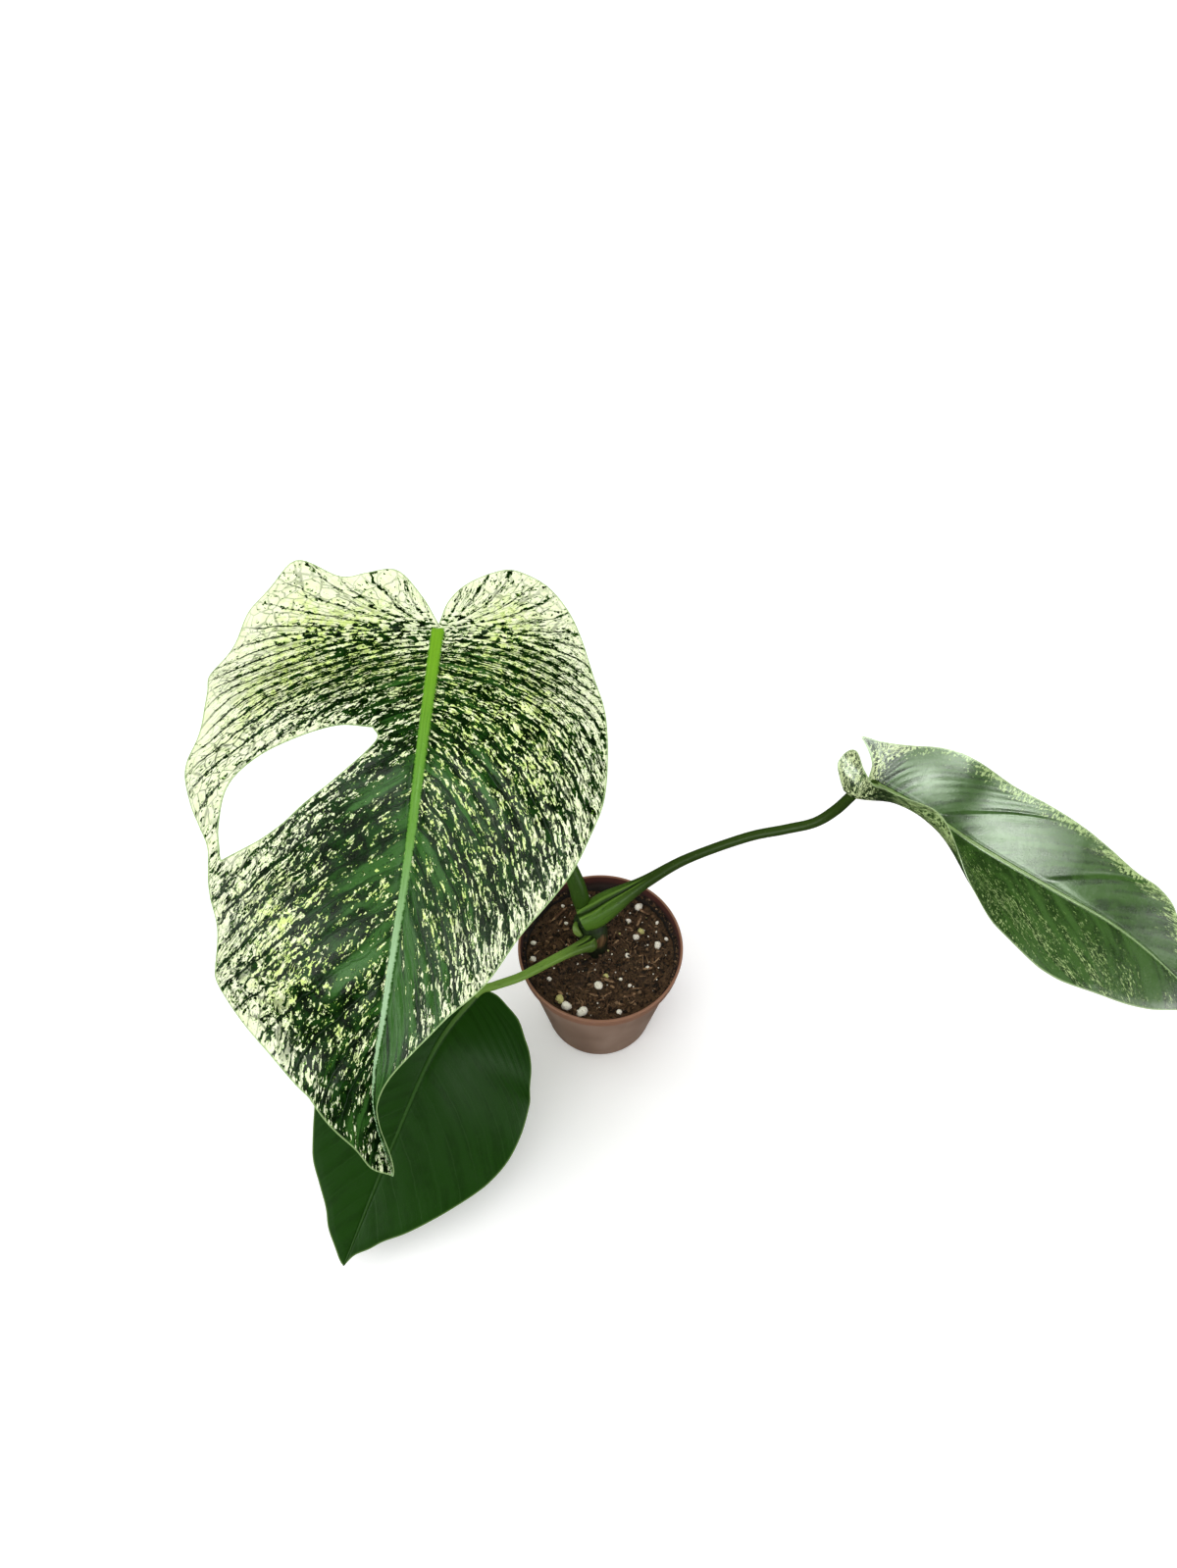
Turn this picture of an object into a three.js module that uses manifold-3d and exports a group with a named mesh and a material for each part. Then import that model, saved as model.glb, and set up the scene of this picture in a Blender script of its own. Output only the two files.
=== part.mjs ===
// Potted variegated monstera: a thin plastic nursery pot filled with potting mix, and a young plant
// with three leaves on a short stem. Millimetres, +Z up. The origin is the centre of the pot's flat
// underside, and -Y is the side from which the plant is usually seen.
import * as THREE from 'three';
import { mergeVertices } from 'three/addons/utils/BufferGeometryUtils.js';
import Module from 'manifold-3d';

const wasm = await Module();
wasm.setup();

// Pot
const POT_HEIGHT = 78;
const RIM_RADIUS = 45;
const COLLAR_HEIGHT = 8;
const SHOULDER_RADIUS = 42.4;
const FOOT_RADIUS = 31;
const WALL = 1.1;
const FLOOR = 1.4;
const FOOT_ROUNDING = 4;
const DRAIN_COUNT = 6;
const DRAIN_RADIUS = 3.5;
const DRAIN_CIRCLE = 19;
const CLEARANCE = 0.3;

// Potting mix
const SOIL_LEVEL = 64.5;
const SOIL_MOUND = 2.2;
const SOIL_ROUGHNESS = 0.7;
const SOIL_RINGS = 9;
const SOIL_SPOKES = 36;

// Leaf tissue
const BLADE_THICKNESS = 0.9;
const BEZIER_ALONG = 0.25;
const BEZIER_ACROSS = 0.62;

// A closed solid from a triangle mesh, with coincident corners welded
function solidOf(geometry) {
  geometry.deleteAttribute('normal');
  geometry.deleteAttribute('uv');
  const welded = mergeVertices(geometry, 1e-4);
  const corners = welded.index.array;
  const kept = [];
  for (let i = 0; i < corners.length; i += 3) {
    const [a, b, c] = [corners[i], corners[i + 1], corners[i + 2]];
    if (a !== b && b !== c && c !== a) kept.push(a, b, c);
  }
  const vertProperties = welded.attributes.position.array;
  return new wasm.Manifold(new wasm.Mesh({ numProp: 3, vertProperties, triVerts: new Uint32Array(kept) }));
}

function geometryOf(solid) {
  const mesh = solid.getMesh();
  const geometry = new THREE.BufferGeometry();
  geometry.setAttribute('position', new THREE.BufferAttribute(new Float32Array(mesh.vertProperties), 3));
  geometry.setIndex(new THREE.BufferAttribute(new Uint32Array(mesh.triVerts), 1));
  const flat = geometry.toNonIndexed();
  flat.computeVertexNormals();
  return flat;
}

function faceted(points, triangles) {
  const geometry = new THREE.BufferGeometry();
  const numbers = points.flatMap((p) => [p.x, p.y, p.z]);
  geometry.setAttribute('position', new THREE.Float32BufferAttribute(numbers, 3));
  geometry.setIndex(triangles);
  return geometry;
}

// A closed solid through rings of points, with a fan over each end
function loft(rings) {
  const sides = rings[0].length;
  const points = rings.flat();
  const triangles = [];
  for (let i = 0; i < rings.length - 1; i++) {
    for (let j = 0; j < sides; j++) {
      const a = i * sides + j;
      const b = i * sides + ((j + 1) % sides);
      triangles.push(a, b, b + sides, a, b + sides, a + sides);
    }
  }
  const centreOf = (ring) => ring.reduce((sum, p) => sum.add(p), new THREE.Vector3()).divideScalar(sides);
  const first = points.push(centreOf(rings[0])) - 1;
  const last = points.push(centreOf(rings[rings.length - 1])) - 1;
  const top = (rings.length - 1) * sides;
  for (let j = 0; j < sides; j++) {
    const k = (j + 1) % sides;
    triangles.push(first, k, j, last, top + j, top + k);
  }
  return faceted(points, triangles);
}

// A smooth value through [place, value] stations, held level past both ends
function stationed(stations, place, column = 1) {
  const last = stations.length - 1;
  const x = THREE.MathUtils.clamp(place, stations[0][0], stations[last][0]);
  let i = 0;
  while (i < last - 1 && x >= stations[i + 1][0]) i++;
  const slope = (k) => {
    if (k === 0 || k === last) return 0;
    return (stations[k + 1][column] - stations[k - 1][column]) / (stations[k + 1][0] - stations[k - 1][0]);
  };
  const h = stations[i + 1][0] - stations[i][0];
  const t = (x - stations[i][0]) / h;
  const [start, end] = [stations[i][column], stations[i + 1][column]];
  const level = start * (1 + 2 * t) * (1 - t) ** 2 + end * t * t * (3 - 2 * t);
  return level + slope(i) * h * t * (1 - t) ** 2 - slope(i + 1) * h * t * t * (1 - t);
}

// A smooth curve through points, flat or in space
function splineOf(points) {
  const knots = points.map((p) => new THREE.Vector3(p[0], p[1], p[2] ?? 0));
  return new THREE.CatmullRomCurve3(knots, false, 'catmullrom', 0.5);
}

// Each station is [x, y, z, radius, groove]: the groove is how deep the channel on the upper side is
function stalk(stations, { up, sides = 12, steps = 24, grow = 0, channel = 0.6 }) {
  const path = splineOf(stations);
  const size = splineOf(stations.map(([, , , radius, groove]) => [radius, groove]));
  const rings = [];
  for (let i = 0; i <= steps; i++) {
    const centre = path.getPoint(i / steps);
    const { x: radius, y: groove } = size.getPoint(i / steps);
    const along = path.getTangent(i / steps);
    const above = up.clone().addScaledVector(along, -along.dot(up)).normalize();
    const across = new THREE.Vector3().crossVectors(along, above);
    const ring = [];
    for (let j = 0; j < sides; j++) {
      const turn = (2 * Math.PI * j) / sides;
      const fromTop = Math.abs(turn > Math.PI ? turn - 2 * Math.PI : turn);
      const reach = (radius + grow) * (1 - groove * Math.exp(-((fromTop / channel) ** 2)));
      const spot = centre.clone();
      spot.addScaledVector(above, reach * Math.cos(turn));
      spot.addScaledVector(across, reach * Math.sin(turn));
      ring.push(spot);
    }
    rings.push(ring);
  }
  return loft(rings);
}

// The blade is drawn flat: x runs along the midrib from the stalk, and each margin is a list of
// [x, distance from the midrib], from the notch at the base round to the tip. It is then bent: the
// midrib follows a curve in space, and each half leaves it at a fold angle that changes outwards by
// the curl angle for every REACH millimetres. Fold and curl are [x, far or right half, other half].
const REACH = 80;

class Blade {
  constructor(shape) {
    Object.assign(this, shape);
    this.path = splineOf(shape.midrib);
    this.path.arcLengthDivisions = 600;
    this.length = this.path.getLength();
    this.sides = [this.traced(shape.margins[0]), this.traced(shape.margins[1])];
  }

  traced(points) {
    const samples = splineOf(points).getPoints(40 * (points.length - 1));
    let turn = samples.length - 1;
    while (turn > 0 && samples[turn - 1].x > 0) turn--;
    const lengths = [0];
    for (let i = 1; i <= turn; i++) lengths.push(lengths[i - 1] + samples[i].distanceTo(samples[i - 1]));
    return { samples, turn, lengths };
  }

  // The margin point that a lateral vein ends on
  marginPoint(side, row) {
    const { samples, turn, lengths } = this.sides[side];
    if (row <= this.lobeRows) {
      const goal = (lengths[turn] * row) / this.lobeRows;
      let i = 0;
      while (i < turn - 1 && lengths[i + 1] < goal) i++;
      const t = (goal - lengths[i]) / (lengths[i + 1] - lengths[i]);
      return samples[i].clone().lerp(samples[i + 1], t);
    }
    const tip = samples[samples.length - 1].x;
    const start = samples[turn].x;
    const goal = start + ((tip - start) * (row - this.lobeRows)) / this.bodyRows;
    let i = turn;
    while (i < samples.length - 2 && samples[i + 1].x < goal) i++;
    const t = THREE.MathUtils.clamp((goal - samples[i].x) / (samples[i + 1].x - samples[i].x), 0, 1);
    return samples[i].clone().lerp(samples[i + 1], t);
  }

  // The place on the midrib that a lateral vein starts from
  foot(row) {
    if (row <= this.lobeRows) return 0;
    const tip = this.sides[0].samples[this.sides[0].samples.length - 1].x;
    return tip * ((row - this.lobeRows) / this.bodyRows) ** 2;
  }

  // A flat point on the lateral vein of a row, at a share of its length from the midrib
  flat(side, row, share) {
    const from = this.foot(row);
    const end = this.marginPoint(side, row);
    const bendX = from + (end.x - from) * BEZIER_ALONG;
    const bendY = end.y * BEZIER_ACROSS;
    const x = (1 - share) ** 2 * from + 2 * share * (1 - share) * bendX + share ** 2 * end.x;
    const y = 2 * share * (1 - share) * bendY + share ** 2 * end.y;
    return [x, side === 0 ? y : -y];
  }

  frame(x) {
    const inside = THREE.MathUtils.clamp(x, 0, this.length);
    const origin = this.path.getPointAt(inside / this.length);
    const ahead = this.path.getPointAt(Math.min(inside + 0.5, this.length) / this.length);
    const behind = this.path.getPointAt(Math.max(inside - 0.5, 0) / this.length);
    const along = ahead.sub(behind).normalize();
    const level = new THREE.Vector3(0, 0, 1);
    const upright = level.addScaledVector(along, -along.z).normalize();
    const sideways = new THREE.Vector3().crossVectors(upright, along);
    const roll = THREE.MathUtils.degToRad(stationed(this.roll, x));
    const normal = upright.clone().multiplyScalar(Math.cos(roll)).addScaledVector(sideways, Math.sin(roll));
    const across = sideways.clone().multiplyScalar(Math.cos(roll)).addScaledVector(upright, -Math.sin(roll));
    const past = x - inside;
    const bend = past < 0 ? THREE.MathUtils.degToRad(this.lobeLift) / REACH : 0;
    if (bend === 0) {
      origin.addScaledVector(along, past);
    } else {
      origin.addScaledVector(along, Math.sin(bend * past) / bend);
      origin.addScaledVector(normal, (1 - Math.cos(bend * past)) / bend);
    }
    return { origin, along, normal, across };
  }

  // The point in space and the upward normal for a flat point
  bent(x, y) {
    const { origin, normal, across } = this.frame(x);
    const column = y >= 0 ? 1 : 2;
    const out = Math.abs(y);
    const sign = y >= 0 ? 1 : -1;
    const fold = THREE.MathUtils.degToRad(stationed(this.fold, x, column));
    const curl = THREE.MathUtils.degToRad(stationed(this.curl, x, column) || 0.001) / REACH;
    const sideways = (Math.sin(fold + curl * out) - Math.sin(fold)) / curl;
    const wave = Math.sin((2 * Math.PI * x) / this.rippleLength + 1.3 * column);
    const ripple = this.ripple * (out / 70) ** 2 * wave;
    const upwards = (Math.cos(fold) - Math.cos(fold + curl * out)) / curl + ripple;
    const point = origin.clone();
    point.addScaledVector(across, sign * sideways);
    point.addScaledVector(normal, upwards);
    const angle = out < 1e-6 ? 0 : fold + curl * out;
    const face = normal.clone().multiplyScalar(Math.cos(angle));
    face.addScaledVector(across, -sign * Math.sin(angle));
    return { point, face };
  }

  // Upper and lower skins on the same grid of lateral veins, closed along the margins. The midrib
  // stands out as a keel underneath.
  solid() {
    const rows = this.lobeRows + this.bodyRows;
    const columns = 2 * this.columns + 1;
    const points = [];
    const triangles = [];
    for (let row = 0; row <= rows; row++) {
      const start = this.foot(row);
      const ends = [this.marginPoint(0, row), this.marginPoint(1, row)];
      const span = ends.map((end) => Math.hypot(end.x - start, end.y));
      for (let j = -this.columns; j <= this.columns; j++) {
        const side = j < 0 ? 1 : 0;
        const share = this.shareOf(Math.abs(j), span[side]);
        const [x, y] = this.flat(side, row, share);
        const { point, face } = this.bent(x, y);
        const keel = stationed(this.keel, x) * Math.exp(-((y / this.keelWidth) ** 2));
        points.push(point.clone().addScaledVector(face, BLADE_THICKNESS / 2));
        points.push(point.clone().addScaledVector(face, -BLADE_THICKNESS / 2 - keel));
      }
    }
    const upper = (row, j) => 2 * (row * columns + j);
    for (let row = 0; row < rows; row++) {
      for (let j = 0; j < columns - 1; j++) {
        const [a, b] = [upper(row, j), upper(row, j + 1)];
        const [d, c] = [upper(row + 1, j), upper(row + 1, j + 1)];
        const split = j < this.columns ? [a, d, b, b, d, c] : [a, d, c, a, c, b];
        triangles.push(...split);
        triangles.push(...split.map((corner) => corner + 1).reverse());
      }
      for (const [j, flip] of [[0, true], [columns - 1, false]]) {
        const [a, b] = [upper(row, j), upper(row + 1, j)];
        triangles.push(...(flip ? [a, a + 1, b, b, a + 1, b + 1] : [a, b, a + 1, b, b + 1, a + 1]));
      }
    }
    return solidOf(faceted(points, triangles));
  }

  // Two narrow columns beside the midrib, then even ones out to the margin
  shareOf(j, span) {
    if (j === 0) return 0;
    const near = Math.min(this.keelWidth / span, 0.12);
    const next = Math.min((2.4 * this.keelWidth) / span, 0.24);
    if (j === 1) return near;
    return next + ((1 - next) * (j - 2)) / (this.columns - 2);
  }

  // A plug through the blade, as wide as an opening drawn flat by its two long edges
  plug(innerEdge, outerEdge, height, steps = 14, lanes = 3) {
    const inner = splineOf(innerEdge);
    const outer = splineOf(outerEdge);
    const points = [];
    const triangles = [];
    for (let i = 0; i <= steps; i++) {
      for (let j = 0; j <= lanes; j++) {
        const flat = inner.getPoint(i / steps).lerp(outer.getPoint(i / steps), j / lanes);
        const { point, face } = this.bent(flat.x, flat.y);
        points.push(point.clone().addScaledVector(face, height));
        points.push(point.clone().addScaledVector(face, -height));
      }
    }
    const at = (i, j) => 2 * (i * (lanes + 1) + j);
    for (let i = 0; i < steps; i++) {
      for (let j = 0; j < lanes; j++) {
        const [a, b, c, d] = [at(i, j), at(i, j + 1), at(i + 1, j + 1), at(i + 1, j)];
        triangles.push(a, b, d, b, c, d);
        triangles.push(a + 1, d + 1, b + 1, b + 1, d + 1, c + 1);
      }
      for (const [j, flip] of [[0, true], [lanes, false]]) {
        const [a, b] = [at(i, j), at(i + 1, j)];
        triangles.push(...(flip ? [a, b, a + 1, b, b + 1, a + 1] : [a, a + 1, b, b, a + 1, b + 1]));
      }
    }
    return solidOf(faceted(points, triangles));
  }
}

// The pot: a turned shell with a collar, a rounded foot and a ring of drain holes
function potSolid() {
  const profile = [];
  const add = (radius, height) => profile.push(new THREE.Vector2(radius, height));
  const collarFoot = POT_HEIGHT - COLLAR_HEIGHT;
  add(0, 0);
  for (let i = 0; i <= 4; i++) {
    const turn = (Math.PI / 2) * (i / 4);
    add(
      FOOT_RADIUS - FOOT_ROUNDING + FOOT_ROUNDING * Math.sin(turn),
      FOOT_ROUNDING - FOOT_ROUNDING * Math.cos(turn),
    );
  }
  add(SHOULDER_RADIUS, collarFoot);
  add(RIM_RADIUS - 0.9, collarFoot + 0.6);
  add(RIM_RADIUS - 0.4, POT_HEIGHT - 1.6);
  add(RIM_RADIUS, POT_HEIGHT - 0.9);
  add(RIM_RADIUS - 0.3, POT_HEIGHT);
  add(RIM_RADIUS - 1.4, POT_HEIGHT);
  add(RIM_RADIUS - 0.9 - WALL, collarFoot + 1.4);
  add(SHOULDER_RADIUS - WALL, collarFoot);
  add(FOOT_RADIUS - WALL, FOOT_ROUNDING + FLOOR);
  add(FOOT_RADIUS - FOOT_ROUNDING + 0.5, FLOOR);
  add(0, FLOOR);
  let shell = solidOf(new THREE.LatheGeometry(profile, 48).rotateX(Math.PI / 2));
  for (let i = 0; i < DRAIN_COUNT; i++) {
    const drain = new THREE.CylinderGeometry(DRAIN_RADIUS, DRAIN_RADIUS, 10, 12);
    drain.rotateX(Math.PI / 2);
    drain.translate(DRAIN_CIRCLE, 0, 0);
    drain.rotateZ((2 * Math.PI * i) / DRAIN_COUNT);
    shell = shell.subtract(solidOf(drain));
  }
  return shell;
}

// A repeatable source of scatter between 0 and 1
function seeded(seed) {
  let state = seed;
  return () => {
    state = (state * 1664525 + 1013904223) % 4294967296;
    return state / 4294967296;
  };
}

function soilHeight(x, y) {
  const radius = Math.hypot(x, y);
  const mound = SOIL_MOUND * Math.exp(-((radius / 24) ** 2));
  const lumps = Math.sin(0.41 * x + 1.1) * Math.cos(0.37 * y + 0.4) + 0.6 * Math.sin(0.83 * x - 0.71 * y);
  return SOIL_LEVEL + mound + SOIL_ROUGHNESS * lumps;
}

// White and yellowish perlite grains as [x, y, size] on the surface
const PERLITE = [
  [21.8, 29.9, 4.5], [16, 22.5, 3.2], [23, 15.5, 3.7], [20, 11.5, 3.7], [32, 6.5, 4.3], [15, -0.5, 3.2],
  [-15, 0.5, 2.4], [-1, -18.5, 4.8], [3, -12.5, 3.2], [-28, -14.5, 2.8], [-22, -27.5, 4.8],
  [-18.5, -31.3, 5.2], [-10, -34.5, 5.6], [10, -34.5, 3.2], [-37.2, -3.1, 3.7], [-37, 6.4, 3.0],
  [26, -7.5, 2.4], [-7, 37, 2.7],
];
const EXTRA_GRAINS = 10;

// Slivers of bark as [x, y, length, turn in degrees]
const BARK = [[-23, 25, 12, 45], [25, 26, 7, -35], [22, 21.5, 7, 70], [15, -24, 8, 10], [4, -15.5, 9, -20]];

function soilSolid() {
  const wallRadius = (z) => {
    const share = (z - FOOT_ROUNDING - FLOOR) / (POT_HEIGHT - COLLAR_HEIGHT - FOOT_ROUNDING - FLOOR);
    return THREE.MathUtils.lerp(FOOT_RADIUS - WALL, SHOULDER_RADIUS - WALL, share) - CLEARANCE;
  };
  const bottom = FLOOR + CLEARANCE;
  const rings = [];
  const ringAt = (radius, height) => {
    const ring = [];
    for (let j = 0; j < SOIL_SPOKES; j++) {
      const turn = (2 * Math.PI * j) / SOIL_SPOKES;
      const [x, y] = [radius * Math.cos(turn), radius * Math.sin(turn)];
      ring.push(new THREE.Vector3(x, y, height ?? soilHeight(x, y)));
    }
    return ring;
  };
  rings.push(ringAt(FOOT_RADIUS - FOOT_ROUNDING - 1, bottom));
  rings.push(ringAt(wallRadius(FOOT_ROUNDING + FLOOR + 1), FOOT_ROUNDING + FLOOR + 1));
  const edge = wallRadius(SOIL_LEVEL - 2.5);
  rings.push(ringAt(edge, SOIL_LEVEL - 2.5));
  for (let i = 0; i < SOIL_RINGS; i++) rings.push(ringAt((edge - 0.2) * (1 - i / SOIL_RINGS)));
  let mix = solidOf(loft(rings));
  const random = seeded(7);
  const grains = [...PERLITE];
  for (let i = 0; i < EXTRA_GRAINS; i++) {
    const turn = 2 * Math.PI * random();
    const radius = 14 + 22 * Math.sqrt(random());
    grains.push([radius * Math.cos(turn), radius * Math.sin(turn), 1.8 + 1.2 * random()]);
  }
  for (const [x, y, size] of grains) {
    const grain = new THREE.IcosahedronGeometry(size / 2, 0);
    grain.rotateX(3 * random());
    grain.rotateZ(3 * random());
    grain.translate(x, y, soilHeight(x, y) + size * 0.12);
    mix = mix.add(solidOf(grain));
  }
  for (const [x, y, length, turn] of BARK) {
    const sliver = new THREE.BoxGeometry(length, 1.8, 3);
    sliver.rotateZ(THREE.MathUtils.degToRad(turn));
    sliver.translate(x, y, soilHeight(x, y) - 0.7);
    mix = mix.add(solidOf(sliver));
  }
  return mix;
}

const UP = new THREE.Vector3(0, 0, 1);

// A short stem leaning back, set 24 mm deep in the mix and widest well above it
const stemRoute = [
  [-0.5, 2.5, 40, 4, 0], [-1, 3, 54, 4.8, 0], [-1.8, 4.2, 65, 5.8, 0], [-4.3, 8.5, 78, 8.4, 0],
  [-7, 12, 88, 7.8, 0],
];
const stemOptions = { up: new THREE.Vector3(0, 1, 0), sides: 16, steps: 14 };

// Leaf stalks, from the stem to the notch of each blade, as [x, y, z, radius, groove]
const largeStalk = [
  [-6.5, 13, 83, 4.2, 0], [-8.5, 15, 91, 4.7, 0], [-11, 17, 101, 4.8, 0.05], [-13.3, 20.4, 110, 4.6, 0.08],
  [-18.4, 26.4, 122, 4.3, 0.1], [-26.8, 32.4, 142, 4, 0.1], [-42, 36.5, 200, 3.4, 0.1],
  [-60, 44.5, 250, 3, 0.1], [-68, 47, 270, 3, 0.1], [-71, 43.5, 277.4, 2.6, 0], [-71, 35.5, 277.6, 1.4, 0],
];
const rightStalk = [
  [-10, 8.2, 91, 6.6, 0.05], [-3.8, 10.4, 93.6, 8, 0.2], [4.1, 14.2, 98, 7.6, 0.4],
  [14.6, 19.1, 102.5, 5.2, 0.4], [25.1, 23.5, 107, 3.5, 0.25], [45.8, 30.6, 117.4, 2.7, 0.1],
  [75.8, 34.4, 132.2, 2.6, 0.08], [94.9, 32.8, 142.4, 2.6, 0.08], [108.6, 31.2, 151, 2.6, 0.05],
  [117.2, 30.1, 164, 2.8, 0.05], [123.5, 25.5, 188, 2.7, 0.05], [127.7, 22.3, 198, 2.4, 0],
  [133, 16.5, 199.4, 1.2, 0],
];
const lowStalk = [
  [-0.5, 3.5, 80.5, 5, 0.05], [-4.4, -0.6, 82, 5.6, 0.2], [-9.7, -3.5, 83.6, 4.6, 0.35],
  [-17, -7.9, 85, 3.4, 0.35], [-27.4, -14.3, 86, 2.9, 0.3], [-42.2, -23.4, 87, 2.6, 0.25],
  [-55.3, -28.5, 87, 2.3, 0.2], [-63, -30.9, 85.4, 2, 0.1], [-70, -39.5, 82, 1.1, 0],
];
const stalkOptions = { up: UP, sides: 12, steps: 26 };
const largeOptions = { ...stalkOptions, up: new THREE.Vector3(-0.6, -0.8, 0.2) };

// The large leaf, with one long opening between two lateral veins of its left half
const largeBlade = new Blade({
  midrib: [
    [-71, 44.5, 279], [-73, -13.5, 276], [-79, -55.5, 248], [-89, -94.5, 208], [-97, -121.5, 168],
    [-92, -141.5, 134],
  ],
  margins: [
    [
      [-3, 0], [-16, 3], [-26.5, 11], [-34, 25.6], [-32, 36.3], [-24, 48], [-8.5, 57.5], [19, 66.3], [45, 73],
      [72, 75], [88, 71.3], [105, 64.5], [126, 51], [149, 40], [172, 23.5], [195, 11.5], [215, 9.2], [235, 8],
      [250, 5], [257, 0],
    ],
    [
      [-3, 0], [-18.3, 8.8], [-32.8, 21.6], [-31.2, 35.2], [-29.4, 46.4], [-38.8, 69.3], [-12.7, 82],
      [6, 87.2], [21, 95], [37.6, 91.9], [50, 92.2], [64, 94.3], [79, 95.7], [93, 94.6], [102, 93], [111, 88],
      [118, 84.2], [126, 82], [141, 79.5], [153.5, 75.4], [166, 72.7], [175.5, 71.8], [186, 66.5], [195, 58],
      [204, 43.5], [211.3, 32], [216, 25.5], [233, 13], [248, 8], [257, 0],
    ],
  ],
  fold: [[0, 2, 2], [120, 4, 4], [185, 12, 8], [215, 70, 8], [255, 75, 15]],
  curl: [[0, -8, -8], [120, -6, -6], [235, 0, 0]],
  roll: [[0, 0], [240, 0]],
  lobeLift: 8,
  ripple: 1.6,
  rippleLength: 46,
  keel: [[-10, 2.2], [0, 2.6], [120, 1.8], [230, 0.5]],
  keelWidth: 1.5,
  lobeRows: 8,
  bodyRows: 27,
  columns: 8,
});
const openingInner = [[54, -21], [60, -19], [76, -32], [90, -45], [103, -56], [122.5, -77.5]];
const openingOuter = [[54, -21], [54, -36], [62, -54], [72, -67], [87, -77], [106, -81], [122.5, -77.5]];

// The low leaf, plain and hanging over the rim to the front left
const lowBlade = new Blade({
  midrib: [[-63, -30.5, 86], [-85, -58.5, 77], [-107, -102.5, 53], [-131, -152.5, 20]],
  margins: [
    [
      [-1, 0], [-3, 8], [-2, 16], [0, 25], [4, 33], [9, 42], [17, 49], [34, 55], [50, 58], [62, 59], [75, 58],
      [86, 54.5], [97, 48.5], [109, 40], [119, 32], [129, 23], [137, 14], [143, 9], [149, 3], [156, 0],
    ],
    [
      [-1, 0], [-6, 10], [-6, 24], [2, 37], [18, 47], [40, 52], [64, 51], [86, 45], [102, 39], [112, 34.5],
      [122, 27], [132, 19.5], [141, 14.5], [149, 7.5], [154, 3], [156, 0],
    ],
  ],
  fold: [[0, 2, 4], [150, 2, 4]],
  curl: [[0, -14, -6], [150, -6, -4]],
  roll: [[0, 14], [150, 12]],
  lobeLift: -10,
  ripple: 1.2,
  rippleLength: 60,
  keel: [[-5, 1.4], [0, 1.6], [100, 0.9], [150, 0.3]],
  keelWidth: 1.2,
  lobeRows: 5,
  bodyRows: 18,
  columns: 7,
});

// The right leaf, whose near half rolls up along the midrib and opens again past its middle
const rightBlade = new Blade({
  midrib: [
    [127, 21.5, 200], [148, 4.5, 201], [173, -12.5, 195], [210, -28.5, 181], [239, -39.5, 168],
    [266, -53.5, 151], [283, -66.5, 138],
  ],
  margins: [
    [
      [-2, 0], [-4, 7], [-8, 12], [-15, 16], [-6, 18.5], [8, 23.5], [22, 29.8], [34, 32.3], [54, 31.8],
      [75, 32.8], [93, 32.5], [113, 30.5], [130, 27.5], [141, 28], [151, 26.5], [158, 22.5], [172, 12.5],
      [186, 4], [194, 0],
    ],
    [
      [-2, 0], [-7.7, 8], [-6.5, 21], [-12.7, 32], [-8, 41.5], [8, 31.2], [20, 38.5], [40, 36], [60, 38.5],
      [80, 36.5], [106, 38.5], [119, 37.5], [138, 33.5], [156, 28], [173, 19.5], [183, 11.5], [190, 4],
      [194, 0],
    ],
  ],
  fold: [
    [-12, 30, -24], [0, 30, -31], [18, 30, 31], [36, 30, 25], [55, 30, 5], [75, 30, 0], [100, 28, -6],
    [130, 24, -12], [190, 15, -10],
  ],
  curl: [
    [-12, 60, 385], [2, 60, 385], [18, 60, 91], [36, 60, 135], [55, 36, 94], [75, 20, 17], [100, 10, -14],
    [130, 0, 0], [190, 0, 0],
  ],
  roll: [[0, 0], [190, 0]],
  lobeLift: 25,
  ripple: 0,
  rippleLength: 60,
  keel: [[-5, 1.4], [0, 1.6], [120, 0.9], [190, 0.3]],
  keelWidth: 1.2,
  lobeRows: 7,
  bodyRows: 24,
  columns: 8,
});

// Pieces
const grownStem = solidOf(stalk(stemRoute, { ...stemOptions, grow: CLEARANCE }));
const grownLarge = solidOf(stalk(largeStalk, { ...largeOptions, grow: CLEARANCE, steps: 32 }));
const grownRight = solidOf(stalk(rightStalk, { ...stalkOptions, grow: CLEARANCE, steps: 34 }));
const opening = largeBlade.plug(openingInner, openingOuter, 6);

const stemSolid = solidOf(stalk(stemRoute, stemOptions)).subtract(grownLarge).subtract(grownRight);
const openedBlade = largeBlade.solid().subtract(opening);
const largeLeaf = solidOf(stalk(largeStalk, { ...largeOptions, steps: 32 })).add(openedBlade);
const rightSheath = solidOf(stalk(rightStalk, { ...stalkOptions, steps: 34 })).subtract(grownLarge);
const rightLeaf = rightSheath.add(rightBlade.solid());
const lowSheath = solidOf(stalk(lowStalk, stalkOptions)).subtract(grownStem).subtract(grownRight);
const lowLeaf = lowSheath.subtract(grownLarge).add(lowBlade.solid());

const plant = new THREE.Group();
function piece(name, solid, color, roughness) {
  const mesh = new THREE.Mesh(
    geometryOf(solid),
    new THREE.MeshStandardMaterial({ color, roughness, metalness: 0, flatShading: true }),
  );
  mesh.name = name;
  plant.add(mesh);
}

piece('pot', potSolid(), '#7b5b48', 0.45);
piece('soil', soilSolid().subtract(grownStem), '#3a2a20', 0.95);
piece('stem', stemSolid, '#35481a', 0.5);
piece('leaf_large', largeLeaf, '#8fb078', 0.35);
piece('leaf_right', rightLeaf, '#5d7f45', 0.35);
piece('leaf_low', lowLeaf, '#1f3f14', 0.35);

export default plant;
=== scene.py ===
import math

import bmesh
import bpy
import numpy as np
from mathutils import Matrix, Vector, noise


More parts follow.
